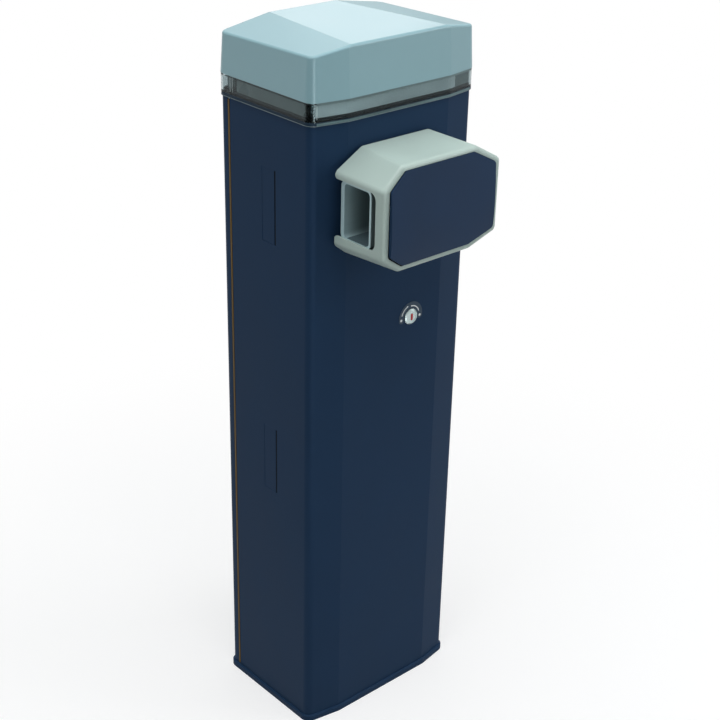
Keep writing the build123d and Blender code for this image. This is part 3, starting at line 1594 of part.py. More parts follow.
# Transformer on a shelf fixed to the left upright
shelf_z = 220.0
shelf_reach = 92.0
shelf_depth = 96.0
shelf_thickness = 3.0
core_radius = 40.0
core_hole = 12.0
core_height = 42.0
core_round = 10.0
core_x = bracket_left + shelf_reach / 2
with BuildPart() as transformer_shelf:
    with BuildSketch(Plane.XY.offset(shelf_z)):
        with Locations((bracket_left, 0)):
            Rectangle(shelf_reach, shelf_depth, align=(Align.MIN, Align.CENTER))
    extrude(amount=-shelf_thickness)
    with BuildSketch(side_plane(bracket_left, 0, shelf_z)):
        Rectangle(shelf_depth, bracket_strip, align=(Align.CENTER, Align.MAX))
    extrude(amount=shelf_thickness)

transformer_shelf.part.label = "transformer_shelf"
export_step(transformer_shelf.part, "parts/transformer_shelf.step")

with BuildPart() as transformer:
    with BuildSketch(Plane.XY.offset(shelf_z)):
        with Locations((core_x, 0)):
            Circle(core_radius)
            Circle(core_hole, mode=Mode.SUBTRACT)
    extrude(amount=core_height)
    fillet(transformer.faces().sort_by(Axis.Z)[-1].outer_wire().edges(), core_round)

transformer.part.label = "transformer"
export_step(transformer.part, "parts/transformer.step")

washer_radius = 24.0
washer_height = 3.0
with BuildPart() as transformer_bolt:
    with BuildSketch(Plane.XY.offset(shelf_z)):
        with Locations((core_x, 0)):
            Circle(foot_bolt_radius)
    extrude(amount=core_height)
    with BuildSketch(Plane.XY.offset(shelf_z + core_height)):
        with Locations((core_x, 0)):
            Circle(washer_radius)
    extrude(amount=washer_height)
    with BuildSketch(Plane.XY.offset(shelf_z + core_height + washer_height)):
        with Locations((core_x, 0)):
            RegularPolygon(foot_bolt_head_radius, 6)
    extrude(amount=foot_bolt_head_height)

transformer_bolt.part.label = "transformer_bolt"
export_step(transformer_bolt.part, "parts/transformer_bolt.step")
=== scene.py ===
import json
import math

import bmesh
import bpy
from mathutils import Matrix, Vector


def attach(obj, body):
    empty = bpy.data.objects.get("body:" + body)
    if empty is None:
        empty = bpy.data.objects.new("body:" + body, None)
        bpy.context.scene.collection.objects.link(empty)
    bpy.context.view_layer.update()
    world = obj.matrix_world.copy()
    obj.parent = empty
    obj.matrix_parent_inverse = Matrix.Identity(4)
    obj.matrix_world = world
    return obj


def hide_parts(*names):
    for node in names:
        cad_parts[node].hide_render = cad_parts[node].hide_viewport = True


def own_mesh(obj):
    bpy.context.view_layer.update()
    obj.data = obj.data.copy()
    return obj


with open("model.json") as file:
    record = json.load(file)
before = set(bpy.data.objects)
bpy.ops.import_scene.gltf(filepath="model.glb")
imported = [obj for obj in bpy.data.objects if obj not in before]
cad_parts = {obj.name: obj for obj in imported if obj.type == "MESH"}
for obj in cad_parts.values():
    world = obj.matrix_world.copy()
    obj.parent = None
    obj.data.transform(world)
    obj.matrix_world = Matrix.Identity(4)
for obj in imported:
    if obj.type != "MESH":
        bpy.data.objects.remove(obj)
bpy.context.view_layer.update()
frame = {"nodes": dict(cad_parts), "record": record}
scene = bpy.context.scene
scene.view_settings.view_transform = "Standard"

# All lengths below are in metres, in the frame's own axes, and all angles in degrees.

CAMERA_PLACE = (-1.3058, -1.4786, 1.5444)
CAMERA_YAW = 42.162
CAMERA_PITCH = 26.575
CAMERA_ROLL = 1.321
CAMERA_LENS = 72.591
SENSOR_WIDTH = 36.0
CAMERA_NEAR = 0.05
CAMERA_FAR = 50.0


def add_camera():
    """The photograph's view: the camera's axes are worked out from yaw, pitch and roll."""
    yaw, pitch, roll = (math.radians(a) for a in (CAMERA_YAW, CAMERA_PITCH, CAMERA_ROLL))
    forward = Vector(
        (math.sin(yaw) * math.cos(pitch), math.cos(yaw) * math.cos(pitch), -math.sin(pitch))
    )
    level = Vector((math.cos(yaw), -math.sin(yaw), 0))
    upright = level.cross(forward)
    right = level * math.cos(roll) + upright * math.sin(roll)
    up = upright * math.cos(roll) - level * math.sin(roll)
    data = bpy.data.cameras.new("camera")
    data.lens = CAMERA_LENS
    data.sensor_width = SENSOR_WIDTH
    data.clip_start = CAMERA_NEAR
    data.clip_end = CAMERA_FAR
    camera = bpy.data.objects.new("camera", data)
    turn = Matrix((right, up, -forward)).transposed().to_4x4()
    camera.matrix_world = Matrix.Translation(CAMERA_PLACE) @ turn
    scene.collection.objects.link(camera)
    scene.camera = camera


# Node trees

# The mix node's colour sockets, which share their names with its other sockets
MIX_FIRST, MIX_SECOND, MIX_RESULT = 6, 7, 2
# How well the rounded normal agrees with the flat one beside an edge and on it
EDGE_FLAT = 0.995
EDGE_SHARP = 0.86
BEVEL_SAMPLES = 4


class Tree:
    """A short way to write a node tree."""

    def __init__(self, owner):
        owner.use_nodes = True
        self.tree = owner.node_tree
        self.tree.nodes.clear()

    def add(self, kind, inputs=None, **settings):
        """A new node, with its settings and the values or links of its inputs."""
        node = self.tree.nodes.new(kind)
        for name, value in settings.items():
            setattr(node, name, value)
        for name, value in (inputs or {}).items():
            self.set(node.inputs[name], value)
        return node

    def set(self, socket, value):
        """Links an output to a socket, or gives the socket a value."""
        if isinstance(value, bpy.types.NodeSocket):
            self.tree.links.new(value, socket)
        else:
            socket.default_value = value

    def place(self, system):
        """Texture coordinates of one kind."""
        return self.add("ShaderNodeTexCoord").outputs[system]

    def noise(self, scale, detail, stretch=None):
        """Noise of so many features to the metre, stretched along the object's axes if asked."""
        place = self.place("Object")
        if stretch:
            mapping = self.add("ShaderNodeMapping", {"Vector": place, "Scale": stretch})
            place = mapping.outputs["Vector"]
        return self.add(
            "ShaderNodeTexNoise", {"Vector": place, "Scale": scale, "Detail": detail}
        ).outputs["Fac"]

    def remap(self, value, span, first=0.0, last=1.0):
        """A smooth step across a span, from a first value to a last one."""
        inputs = {
            "Value": value, "From Min": span[0], "From Max": span[1],
            "To Min": first, "To Max": last,
        }
        node = self.add("ShaderNodeMapRange", inputs, interpolation_type="SMOOTHSTEP")
        return node.outputs["Result"]

    def math(self, operation, first, second):
        """One operation on two values."""
        return self.add(
            "ShaderNodeMath", {0: first, 1: second}, operation=operation
        ).outputs["Value"]

    def mix(self, share, first, second):
        """A colour between two others."""
        node = self.add("ShaderNodeMix", {"Factor": share}, data_type="RGBA")
        self.set(node.inputs[MIX_FIRST], first)
        self.set(node.inputs[MIX_SECOND], second)
        return node.outputs[MIX_RESULT]

    def blend(self, share, first, second):
        """A shader between two others."""
        return self.add(
            "ShaderNodeMixShader", {"Fac": share, 1: first, 2: second}
        ).outputs["Shader"]

    def relief(self, height, strength, size):
        """A normal that follows a height."""
        inputs = {"Strength": strength, "Distance": size, "Height": height}
        return self.add("ShaderNodeBump", inputs).outputs["Normal"]

    def edge_mask(self, reach):
        """1 on edges sharper than their surroundings, 0 elsewhere."""
        rounded = self.add("ShaderNodeBevel", {"Radius": reach}, samples=BEVEL_SAMPLES)
        flat = self.add("ShaderNodeNewGeometry")
        agree = self.add(
            "ShaderNodeVectorMath",
            {0: rounded.outputs["Normal"], 1: flat.outputs["Normal"]},
            operation="DOT_PRODUCT",
        )
        return self.remap(agree.outputs["Value"], (EDGE_FLAT, EDGE_SHARP))

    def ray_mask(self, *kinds):
        """1 for rays of these kinds, 0 for the others."""
        path = self.add("ShaderNodeLightPath")
        mask = path.outputs[f"Is {kinds[0]} Ray"]
        for kind in kinds[1:]:
            mask = self.math("MAXIMUM", mask, path.outputs[f"Is {kind} Ray"])
        return mask

    def end(self, shader, kind="Material"):
        """The output node."""
        self.add(f"ShaderNodeOutput{kind}", {"Surface": shader})


# Finishes

BUMP_SIZE = 0.0002
GRAIN_DETAIL = 3.0
MOTTLE_DETAIL = 4.0
SLOW_SPAN = (0.3, 0.7)
SPECK_SPAN = (0.35, 0.65)
SPECK_SHARE = 0.5
MIN_ROUGH = 0.02
# Wear and painted highlights along the edges, one paler edge line for both: its reach, the noise
# that breaks it up, and how much paler it is
WEAR_AND_HIGHLIGHT_REACH = 0.001
WEAR_AND_HIGHLIGHT_SCALE = 140.0
WEAR_AND_HIGHLIGHT_DETAIL = 5.0
WEAR_AND_HIGHLIGHT_SPAN = (0.42, 0.62)
WEAR_AND_HIGHLIGHT_LEAST = 0.15
WEAR_AND_HIGHLIGHT_TINT = 2.2


def tint(colour, factor):
    """A colour made lighter or darker, with alpha 1."""
    return tuple(min(1.0, c * factor) for c in colour[:3]) + (1.0,)


def finish_material(name, colour, rough, grain, metal=0.0, specular=0.5, bump=0.1, mottle=0.06,
                    mottle_scale=9.0, stretch=None, rough_spread=0.08, wear_and_highlight=0.0,
                    worn_colour=None, depth_shade=None):
    """A finish with grain in its relief, slow variation in its colour, and wear and painted
    highlights on its edges.

    Given a reach and a share, the colour fades to that share of itself over the first part of the
    box in X: painted shade, darker deeper in.
    """
    made = bpy.data.materials.new(name)
    tree = Tree(made)
    fine = tree.noise(grain, GRAIN_DETAIL, stretch)
    slow = tree.noise(mottle_scale, MOTTLE_DETAIL)
    dark = tint(colour, 1 - mottle)
    base = tree.mix(tree.remap(slow, SLOW_SPAN), dark, tint(colour, 1 + mottle))
    speck = tree.remap(fine, SPECK_SPAN)
    base = tree.mix(tree.math("MULTIPLY", speck, SPECK_SHARE), base, dark)
    # Painted shade: the colour darkens over the first part of the box in X, deeper in
    if depth_shade:
        reach, left = depth_shade
        inwards = tree.add("ShaderNodeSeparateXYZ", {"Vector": tree.place("Generated")})
        depth = tree.remap(inwards.outputs["X"], (0.0, reach))
        base = tree.mix(depth, base, tint(colour, left))
    # Wear and painted highlights: the edges are made paler
    if wear_and_highlight:
        broken = tree.remap(tree.noise(WEAR_AND_HIGHLIGHT_SCALE, WEAR_AND_HIGHLIGHT_DETAIL), WEAR_AND_HIGHLIGHT_SPAN, WEAR_AND_HIGHLIGHT_LEAST)
        mask = tree.math("MULTIPLY", tree.edge_mask(WEAR_AND_HIGHLIGHT_REACH), broken)
        edge_wear_and_highlight_tone = worn_colour or tint(colour, WEAR_AND_HIGHLIGHT_TINT)
        base = tree.mix(tree.math("MULTIPLY", mask, wear_and_highlight), base, edge_wear_and_highlight_tone)
    smooth, coarse = max(MIN_ROUGH, rough - rough_spread), min(1.0, rough + rough_spread)
    shader = tree.add(
        "ShaderNodeBsdfPrincipled",
        {
            "Base Color": base,
            "Metallic": metal,
            "Specular IOR Level": specular,
            "Roughness": tree.remap(slow, SLOW_SPAN, smooth, coarse),
            "Normal": tree.relief(fine, bump, BUMP_SIZE),
        },
    )
    tree.end(shader.outputs["BSDF"])
    return made


NAVY = (0.0155, 0.0402, 0.0880)

FINISHES = {
    "navy_sheet": dict(
        colour=NAVY, rough=0.48, specular=0.055, grain=900.0, bump=0.18, mottle=0.03,
        rough_spread=0.02, wear_and_highlight=0.25,
    ),
    # The base's pale edge lines are painted highlights, drawn with the edge wear mask
    "base_paint": dict(
        colour=NAVY, rough=0.50, specular=0.055, grain=700.0, bump=0.22, mottle=0.08, wear_and_highlight=0.6,
    ),
    "lid_plastic": dict(
        colour=(0.260, 0.442, 0.490), rough=0.29, grain=1100.0, bump=0.10, mottle=0.015,
        rough_spread=0.012, wear_and_highlight=0.10,
    ),
    "head_plastic": dict(
        colour=(0.430, 0.540, 0.500), rough=0.45, grain=1100.0, bump=0.12, mottle=0.03,
        wear_and_highlight=0.10,
    ),
    "face_plastic": dict(
        colour=(0.0150, 0.0380, 0.0860), rough=0.40, specular=0.12, grain=1000.0, bump=0.08,
        mottle=0.05,
    ),
    "diffuser_plastic": dict(
        colour=(0.185, 0.225, 0.220), rough=0.35, grain=600.0, bump=0.05, mottle=0.05,
    ),
    # The socket's colour darkens deeper inside: painted shade
    "socket_alloy": dict(
        colour=(0.44, 0.60, 0.63), rough=0.42, metal=0.30, grain=420.0, bump=0.12,
        mottle=0.04, stretch=(0.04, 1.0, 1.0), depth_shade=(0.22, 0.40),
    ),
    # Painted shade in the gap round the socket's mouth
    "gap_shade_grey": dict(
        colour=(0.120, 0.160, 0.165), rough=0.6, grain=500.0, bump=0.2, mottle=0.1,
        mottle_scale=30.0,
    ),
    # Painted shade on the socket's floor
    "floor_shade_dark": dict(
        colour=(0.066, 0.105, 0.120), rough=0.7, grain=500.0, bump=0.2, mottle=0.1,
        mottle_scale=30.0,
    ),
    # Painted light along the top of the clear band's front
    "band_painted_light": dict(
        colour=(0.135, 0.200, 0.208), rough=0.4, specular=0.3, grain=600.0, bump=0.05,
        mottle=0.08, mottle_scale=12.0,
    ),
    "cast_alloy": dict(
        colour=(0.42, 0.43, 0.44), rough=0.55, metal=0.8, grain=500.0, bump=0.45,
        mottle=0.10, wear_and_highlight=0.3, worn_colour=(0.75, 0.75, 0.76, 1),
    ),
    "zinc_steel": dict(
        colour=(0.52, 0.53, 0.52), rough=0.38, metal=0.9, grain=120.0, bump=0.06,
        mottle=0.12, mottle_scale=60.0,
    ),
    "bright_steel": dict(
        colour=(0.62, 0.63, 0.64), rough=0.26, metal=1.0, grain=600.0, bump=0.05,
        mottle=0.05, mottle_scale=40.0,
    ),
    "lock_metal": dict(
        colour=(0.50, 0.60, 0.60), rough=0.32, metal=0.75, grain=900.0, bump=0.05,
        mottle=0.04, mottle_scale=80.0,
    ),
    "label_grey": dict(
        colour=(0.050, 0.080, 0.118), rough=0.45, specular=0.15, grain=900.0, bump=0.04,
    ),
    "seal_rubber": dict(
        colour=(0.140, 0.080, 0.014), rough=0.65, grain=900.0, bump=0.2, mottle=0.10,
    ),
    "black_rubber": dict(
        colour=(0.018, 0.018, 0.019), rough=0.7, grain=900.0, bump=0.25, mottle=0.15,
    ),
    "motor_paint": dict(
        colour=(0.05, 0.054, 0.058), rough=0.45, grain=500.0, bump=0.2, mottle=0.10,
        wear_and_highlight=0.3, worn_colour=(0.25, 0.25, 0.26, 1),
    ),
    "spring_steel": dict(
        colour=(0.05, 0.055, 0.06), rough=0.42, metal=0.6, grain=500.0, mottle=0.2,
        mottle_scale=60.0,
    ),
    "tray_plastic": dict(
        colour=(0.07, 0.075, 0.08), rough=0.5, grain=900.0, bump=0.2, mottle=0.05,
    ),
    "board_green": dict(
        colour=(0.02, 0.12, 0.05), rough=0.35, grain=400.0, bump=0.05, mottle=0.2,
        mottle_scale=140.0,
    ),
    "terminal_green": dict(
        colour=(0.05, 0.30, 0.12), rough=0.4, grain=900.0, bump=0.05, mottle=0.05,
    ),
    "core_wrap": dict(
        colour=(0.55, 0.36, 0.09), rough=0.45, grain=60.0, bump=0.2, mottle=0.15,
        mottle_scale=40.0, stretch=(1.0, 1.0, 30.0),
    ),
    "strip_white": dict(
        colour=(0.72, 0.72, 0.68), rough=0.5, grain=900.0, bump=0.05, mottle=0.03,
    ),
    "switch_plastic": dict(colour=(0.03, 0.03, 0.034), rough=0.4, grain=900.0, mottle=0.08),
    "slot_red": dict(
        colour=(0.50, 0.014, 0.022), rough=0.45, grain=2500.0, mottle=0.2,
        mottle_scale=600.0,
    ),
    # Painted shade in gaps: the dark line under the band's pane, in the blanks' slots and round
    # the head's face
    "gap_shade": dict(
        colour=(0.006, 0.009, 0.011), rough=0.8, specular=0.1, grain=900.0, bump=0.2,
        mottle=0.15,
    ),
    "ledge_shade": dict(
        colour=(0.012, 0.022, 0.036), rough=0.8, specular=0.1, grain=900.0, bump=0.2,
        mottle=0.15,
    ),
    # Painted light on the front of the clear band
    "painted_light_grey": dict(
        colour=(0.66, 0.72, 0.72), rough=0.4, grain=600.0, bump=0.05, mottle=0.12,
        mottle_scale=14.0,
    ),
    # Painted shade on the right end of the clear band's front
    "painted_shade_dark": dict(
        colour=(0.150, 0.205, 0.205), rough=0.4, grain=600.0, bump=0.05, mottle=0.15,
        mottle_scale=14.0,
    ),
    # Painted reflection on the front of the band's ledge
    "ledge_painted_reflection": dict(
        colour=(0.11, 0.18, 0.19), rough=0.35, specular=0.3, grain=600.0, bump=0.05,
        mottle=0.25, mottle_scale=12.0,
    ),
    "ledge_navy": dict(
        colour=(0.016, 0.034, 0.056), rough=0.4, specular=0.1, grain=600.0, bump=0.05,
        mottle=0.2, mottle_scale=20.0,
    ),
    "relay_blue": dict(
        colour=(0.014, 0.030, 0.075), rough=0.35, grain=900.0, bump=0.05, mottle=0.05,
    ),
    # The black of the chips, capacitors and display, and the painted shade in the terminals' holes
    "chip_black_and_hole_shade": dict(
        colour=(0.014, 0.014, 0.015), rough=0.5, grain=1200.0, mottle=0.1, mottle_scale=80.0,
    ),
    "module_grey": dict(
        colour=(0.34, 0.35, 0.35), rough=0.4, grain=900.0, bump=0.05, mottle=0.05,
    ),
    # Painted highlights in the clear band: the pale rods and sleeves
    "glint_pale": dict(
        colour=(0.86, 0.92, 0.92), rough=0.25, grain=600.0, bump=0.05, mottle=0.04,
    ),
    "lip_pale": dict(
        colour=(0.17, 0.24, 0.26), rough=0.35, grain=900.0, bump=0.05, mottle=0.1,
    ),
    "print_pale": dict(
        colour=(0.92, 0.97, 0.98), rough=0.5, grain=2500.0, bump=0.05, mottle_scale=400.0,
    ),
}

CLEAR_PLASTIC = {
    "Base Color": (0.48, 0.55, 0.565, 1),
    "Specular Tint": (0.70, 0.88, 0.92, 1),
    "Roughness": 0.04,
    "IOR": 1.30,
    "Transmission Weight": 1.0,
}
FLOW_SCALE = 45.0
FLOW_DETAIL = 2.0
FLOW_BUMP = 0.12
FLOW_SIZE = 0.0006


def clear_material(name):
    """Clear moulded plastic, slightly grey, with a faint flow in its surface."""
    made = bpy.data.materials.new(name)
    tree = Tree(made)
    shader = tree.add("ShaderNodeBsdfPrincipled", CLEAR_PLASTIC)
    relief = tree.relief(tree.noise(FLOW_SCALE, FLOW_DETAIL), FLOW_BUMP, FLOW_SIZE)
    tree.set(shader.inputs["Normal"], relief)
    tree.end(shader.outputs["BSDF"])
    return made


def make_materials():
    """A material for each slot of the record, and those of the added pieces."""
    made = {name: finish_material(name, **values) for name, values in FINISHES.items()}
    made["clear_plastic"] = clear_material("clear_plastic")
    return made


def dress_nodes(materials):
    """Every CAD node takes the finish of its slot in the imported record."""
    slots = {s["node"]: s["material_slot"] for s in frame["record"]["subparts"]}
    for name, piece in frame["nodes"].items():
        piece.data.materials.clear()
        piece.data.materials.append(materials[slots[name]])


# Pieces in mesh code

BEVEL_SEGMENTS = 2
BEVEL_PROFILE = 0.5
# Coordinates closer than this are the same
SAME = 1e-7


def add_piece(mesh, body, material, smooth=False):
    """An object of a mesh and its name, in the frame's own place, that moves with a CAD body."""
    for face in mesh.polygons:
        face.use_smooth = smooth
    piece = bpy.data.objects.new(mesh.name, mesh)
    scene.collection.objects.link(piece)
    mesh.materials.append(material)
    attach(piece, body)
    return piece


def finish_mesh(name, made, bevel=0.0, picked=None):
    """The mesh of a closed form: its faces turned outwards, and its picked edges bevelled."""
    bmesh.ops.recalc_face_normals(made, faces=made.faces)
    if bevel:
        bmesh.ops.bevel(
            made, geom=[edge for edge in made.edges if picked is None or picked(edge)],
            offset=bevel, segments=BEVEL_SEGMENTS, affect="EDGES", profile=BEVEL_PROFILE,
        )
    mesh = bpy.data.meshes.new(name)
    made.to_mesh(mesh)
    made.free()
    return mesh


def tubes_mesh(name, lines, radius, sides):
    """Round wires along lines of points, closed at both ends."""
    verts, faces = [], []
    for points in lines:
        start = len(verts)
        side = None
        for place, point in enumerate(points):
            before = points[max(place - 1, 0)]
            after = points[min(place + 1, len(points) - 1)]
            along = (after - before).normalized()
            if side is None:
                side = along.orthogonal().normalized()
            side = (side - along * side.dot(along)).normalized()
            other = along.cross(side)
            for step in range(sides):
                angle = 2 * math.pi * step / sides
                verts.append(point + (side * math.cos(angle) + other * math.sin(angle)) * radius)
        for low in range(start, len(verts) - sides, sides):
            for step in range(sides):
                turn = (step + 1) % sides
                faces.append((low + step, low + turn, low + sides + turn, low + sides + step))
        faces.append(tuple(reversed(range(start, start + sides))))
        faces.append(tuple(range(len(verts) - sides, len(verts))))
    mesh = bpy.data.meshes.new(name)
    mesh.from_pydata(verts, [], faces)
    return mesh


def loft_mesh(name, lines, closed=True):
    """Lines of as many points, each joined to the next and the last to the first.

    The lines are closed outlines, or open lines whose two ends get a face.
    """
    made = bmesh.new()
    rows = [[made.verts.new(point) for point in line] for line in lines]
    for row, following in zip(rows, rows[1:] + rows[:1]):
        for step in range(len(row) if closed else len(row) - 1):
            turn = (step + 1) % len(row)
            made.faces.new((row[step], row[turn], following[turn], following[step]))
    if not closed:
        made.faces.new([row[0] for row in rows])
        made.faces.new([row[-1] for row in rows])
    return finish_mesh(name, made)


def wall_mesh(name, outer, inner, low, high, closed=True):
    """A wall between two lines in the plan and two heights."""
    edges = ((outer, low), (outer, high), (inner, high), (inner, low))
    return loft_mesh(name, [[(p.x, p.y, z) for p in line] for line, z in edges], closed)


def box_mesh(name, boxes, bevel=0.0):
    """Boxes given by their six limits."""
    made = bmesh.new()
    for x0, x1, y0, y1, z0, z1 in boxes:
        low, high = (
            [made.verts.new((x, y, z)) for x, y in ((x0, y0), (x1, y0), (x1, y1), (x0, y1))]
            for z in (z0, z1)
        )
        made.faces.new(low)
        made.faces.new(high)
        for step in range(4):
            turn = (step + 1) % 4
            made.faces.new((low[step], low[turn], high[turn], high[step]))
    return finish_mesh(name, made, bevel)


def prism_mesh(name, rings, y_front, y_back, bevel=0.0):
    """Flat shapes in X and Z, given as closed outlines, extruded from front to back."""
    made = bmesh.new()
    for ring in rings:
        front = [made.verts.new((x, y_front, z)) for x, z in ring]
        back = [made.verts.new((x, y_back, z)) for x, z in ring]
        made.faces.new(front)
        made.faces.new(back)
        for step in range(len(ring)):
            turn = (step + 1) % len(ring)
            made.faces.new((front[turn], front[step], back[step], back[turn]))
    return finish_mesh(
        name, made, bevel, lambda edge: all(abs(v.co.y - y_front) < SAME for v in edge.verts)
    )


def corner_arc(corner, u, w, radius, steps):
    """A rounded corner between an edge that runs along u and the next one along w."""
    bend = math.acos(max(-1.0, min(1.0, u.dot(w))))
    way = 1 if u.x * w.y - u.y * w.x > 0 else -1
    across = Vector((-u.y, u.x)) * way
    middle = corner - u * radius * math.tan(bend / 2) + across * radius
    angles = [bend * step / steps for step in range(steps + 1)]
    return [middle + (u * math.sin(a) - across * math.cos(a)) * radius for a in angles]


def round_corners(corners, radius, steps):
    """A closed outline with each corner rounded."""
    ring = []
    count = len(corners)
    for step in range(count):
        before, corner, after = (Vector(corners[(step + k) % count]) for k in (-1, 0, 1))
        u, w = (corner - before).normalized(), (after - corner).normalized()
        ring += [(p.x, p.y) for p in corner_arc(corner, u, w, radius, steps)]
    return ring


def arc_ring(x, z, radius, width, first, last, steps=36, cap_steps=8):
    """A bent strip with round ends, about a centre, between two angles."""
    outer, inner = [], []
    for step in range(steps + 1):
        angle = math.radians(first + (last - first) * step / steps)
        for line, reach in ((outer, radius + width / 2), (inner, radius - width / 2)):
            line.append((x + reach * math.cos(angle), z + reach * math.sin(angle)))
    onward = 1 if last > first else -1
    caps = []
    for end, start in ((last, 0.0), (first, math.pi)):
        angle = math.radians(end)
        cx, cz = x + radius * math.cos(angle), z + radius * math.sin(angle)
        turns = [angle + start + onward * math.pi * s / cap_steps for s in range(1, cap_steps)]
        caps.append([(cx + width / 2 * math.cos(t), cz + width / 2 * math.sin(t)) for t in turns])
    return outer + caps[0] + list(reversed(inner)) + caps[1]


def disc_ring(x, z, radius, steps=28):
    """A round outline."""
    angles = [2 * math.pi * step / steps for step in range(steps)]
    return [(x + radius * math.cos(a), z + radius * math.sin(a)) for a in angles]


def slot_ring(x, z, width, height, steps=8):
    """An upright slot's outline, with round ends."""
    ring = []
    for sign, start in ((1, 0.0), (-1, math.pi)):
        middle = z + sign * (height - width) / 2
        for step in range(steps + 1):
            angle = start + math.pi * step / steps
            ring.append((x + width / 2 * math.cos(angle), middle + width / 2 * math.sin(angle)))
    return ring


# The balance spring, from the same values as the CAD's wire. At rest the balance lever stands at
# 45 degrees, and the spring hangs under its end.
LEVER_REACH = 0.062
SPRING_X = LEVER_REACH * 0.5 ** 0.5
SPRING_Y = 0.045
SPRING_FOOT = 0.190
SPRING_HEAD = 0.560
SPRING_RADIUS = 0.024
SPRING_TURNS = 16
SPRING_CLEARANCE = 0.0001
WIRE_RADIUS = 0.004
WIRE_SIDES = 16
STEPS_PER_TURN = 44


def add_spring(materials):
    """The wound spring at rest, drawn finer than the CAD's. The real spring shortens as the boom
    rises.
    """
    low = SPRING_FOOT + WIRE_RADIUS + SPRING_CLEARANCE
    high = SPRING_HEAD - WIRE_RADIUS - SPRING_CLEARANCE
    steps = SPRING_TURNS * STEPS_PER_TURN
    points = []
    for step in range(steps + 1):
        angle = 2 * math.pi * step / STEPS_PER_TURN
        x = SPRING_X + SPRING_RADIUS * math.cos(angle)
        y = SPRING_Y + SPRING_RADIUS * math.sin(angle)
        points.append(Vector((x, y, low + (high - low) * step / steps)))
    mesh = tubes_mesh("balance_coil", [points], WIRE_RADIUS, WIRE_SIDES)
    coil = add_piece(mesh, "cabinet", materials["spring_steel"], smooth=True)
    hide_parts("balance_spring")
    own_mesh(coil)


# The cabinet's plan, for the pieces that follow the light band
HALF_WIDTH = 0.148
FRONT_Y = -0.105
REAR_Y = 0.105
FRONT_CORNER_Y = -0.095
REAR_CORNER_Y = 0.101
FRONT_HALF = 0.092
REAR_HALF = 0.0615
PLAN_RADIUS = 0.0125
PLAN_STEPS = 10
LEAST_RADIUS = 0.002
# The corners farther out than this are rounded
ROUNDED_FROM = 0.118
BODY_TOP = 0.975


def plan_line(grow):
    """The plan's outline moved outwards by grow, with its four outer corners rounded.

    It starts with the two corners of the front and goes round by the right.
    """
    corners = [
        (-FRONT_HALF, FRONT_Y), (FRONT_HALF, FRONT_Y), (HALF_WIDTH, FRONT_CORNER_Y),
        (HALF_WIDTH, REAR_CORNER_Y), (REAR_HALF, REAR_Y), (-REAR_HALF, REAR_Y),
        (-HALF_WIDTH, REAR_CORNER_Y), (-HALF_WIDTH, FRONT_CORNER_Y),
    ]
    count = len(corners)
    sides = []
    for step in range(count):
        start, end = Vector(corners[step]), Vector(corners[(step + 1) % count])
        along = (end - start).normalized()
        sides.append((start + Vector((along.y, -along.x)) * grow, along))
    radius = max(PLAN_RADIUS + grow, LEAST_RADIUS)
    line = []
    for step in range(count):
        (p, u), (q, w) = sides[step - 1], sides[step]
        gap = q - p
        corner = p + u * ((gap.x * w.y - gap.y * w.x) / (u.x * w.y - u.y * w.x))
        if abs(corner.x) < ROUNDED_FROM:
            line.append(corner)
        else:
            line += corner_arc(corner, u, w, radius, PLAN_STEPS)
    return line


def front_line(grow, first, last):
    """The front of the plan, moved outwards by grow, between two places across the width."""
    left, right, side = plan_line(grow)[:3]
    slope = (side.y - right.y) / (side.x - right.x)
    places = [first] + [x for x in (left.x, right.x) if first < x < last] + [last]
    return [Vector((x, right.y + max(0.0, abs(x) - right.x) * slope)) for x in places]


# Painted highlights: pale rods at the clear band's corners and beside its rear posts, with heights
# above the body's top
GLINT_GROW = 0.0013
GLINT_RADIUS = 0.00045
GLINT_SIDES = 10
GLINT_HEIGHTS = (0.0090, 0.0190, 0.0290)
SIDE_GLINT_X = HALF_WIDTH + 0.0014
SIDE_GLINT_Y = (0.0685, 0.0735)
# Pale sleeves inside the band's rear posts, with heights above the body's top: painted highlights
# seen through the clear posts
SLEEVE_X = 0.134
SLEEVE_Y = 0.089
SLEEVE_RADIUS = 0.0045
SLEEVE_SIDES = 24
SLEEVE_HEIGHTS = (0.0079, 0.0180, 0.0278)
# Strips along the front: name, offset of the outer face from the plan, depth, first and last
# place across the width, lower and upper height above the body's top, finish and slot
FRONT_STRIPS = (
    # Painted light: a pale film that lightens the front's pane
    ("pane_painted_light", -0.0033, 0.00012, -0.1395, 0.1395, 0.0102, 0.0278,
     "painted_light_grey", "diffuser_plastic"),
    # Painted shade: a dark film on the right end of the front's pane
    ("corner_painted_shade", -0.00325, 0.00004, 0.1080, 0.1405, 0.0102, 0.0278,
     "painted_shade_dark", "diffuser_plastic"),
    # Painted light: a grey strip that lightens the top of the band's front, over the shade of the
    # gap under the lid
    ("band_head", 0.00204, 0.0002, -0.1405, 0.1405, 0.0279, 0.0308,
     "band_painted_light", "clear_plastic"),
    # Painted reflection: a pale strip on the front of the band's ledge
    ("ledge_face", 0.00204, 0.0002, -0.1405, 0.1405, 0.0011, 0.0040,
     "ledge_painted_reflection", "clear_plastic"),
)
# Rings round the band: name, outer and inner offset from the plan, heights, finish and slot
BAND_RINGS = (
    # Painted shade: a dark sheet under the band that keeps its ledge dark
    ("ledge_shade_sheet", 0.0012, -0.0220, 0.00004, 0.00012, "ledge_shade", "black_rubber"),
    # Painted shade: a dark ring in the gap between the pane and the ledge
    ("pane_gap_shade", -0.0032, -0.0054, 0.0076, 0.0099, "gap_shade", "black_rubber"),
    ("band_lip", 0.0021, 0.0015, 0.0001, 0.0008, "lip_pale", "clear_plastic"),
    ("ledge_band", 0.00201, 0.0018, 0.0009, 0.0052, "ledge_navy", "clear_plastic"),
)


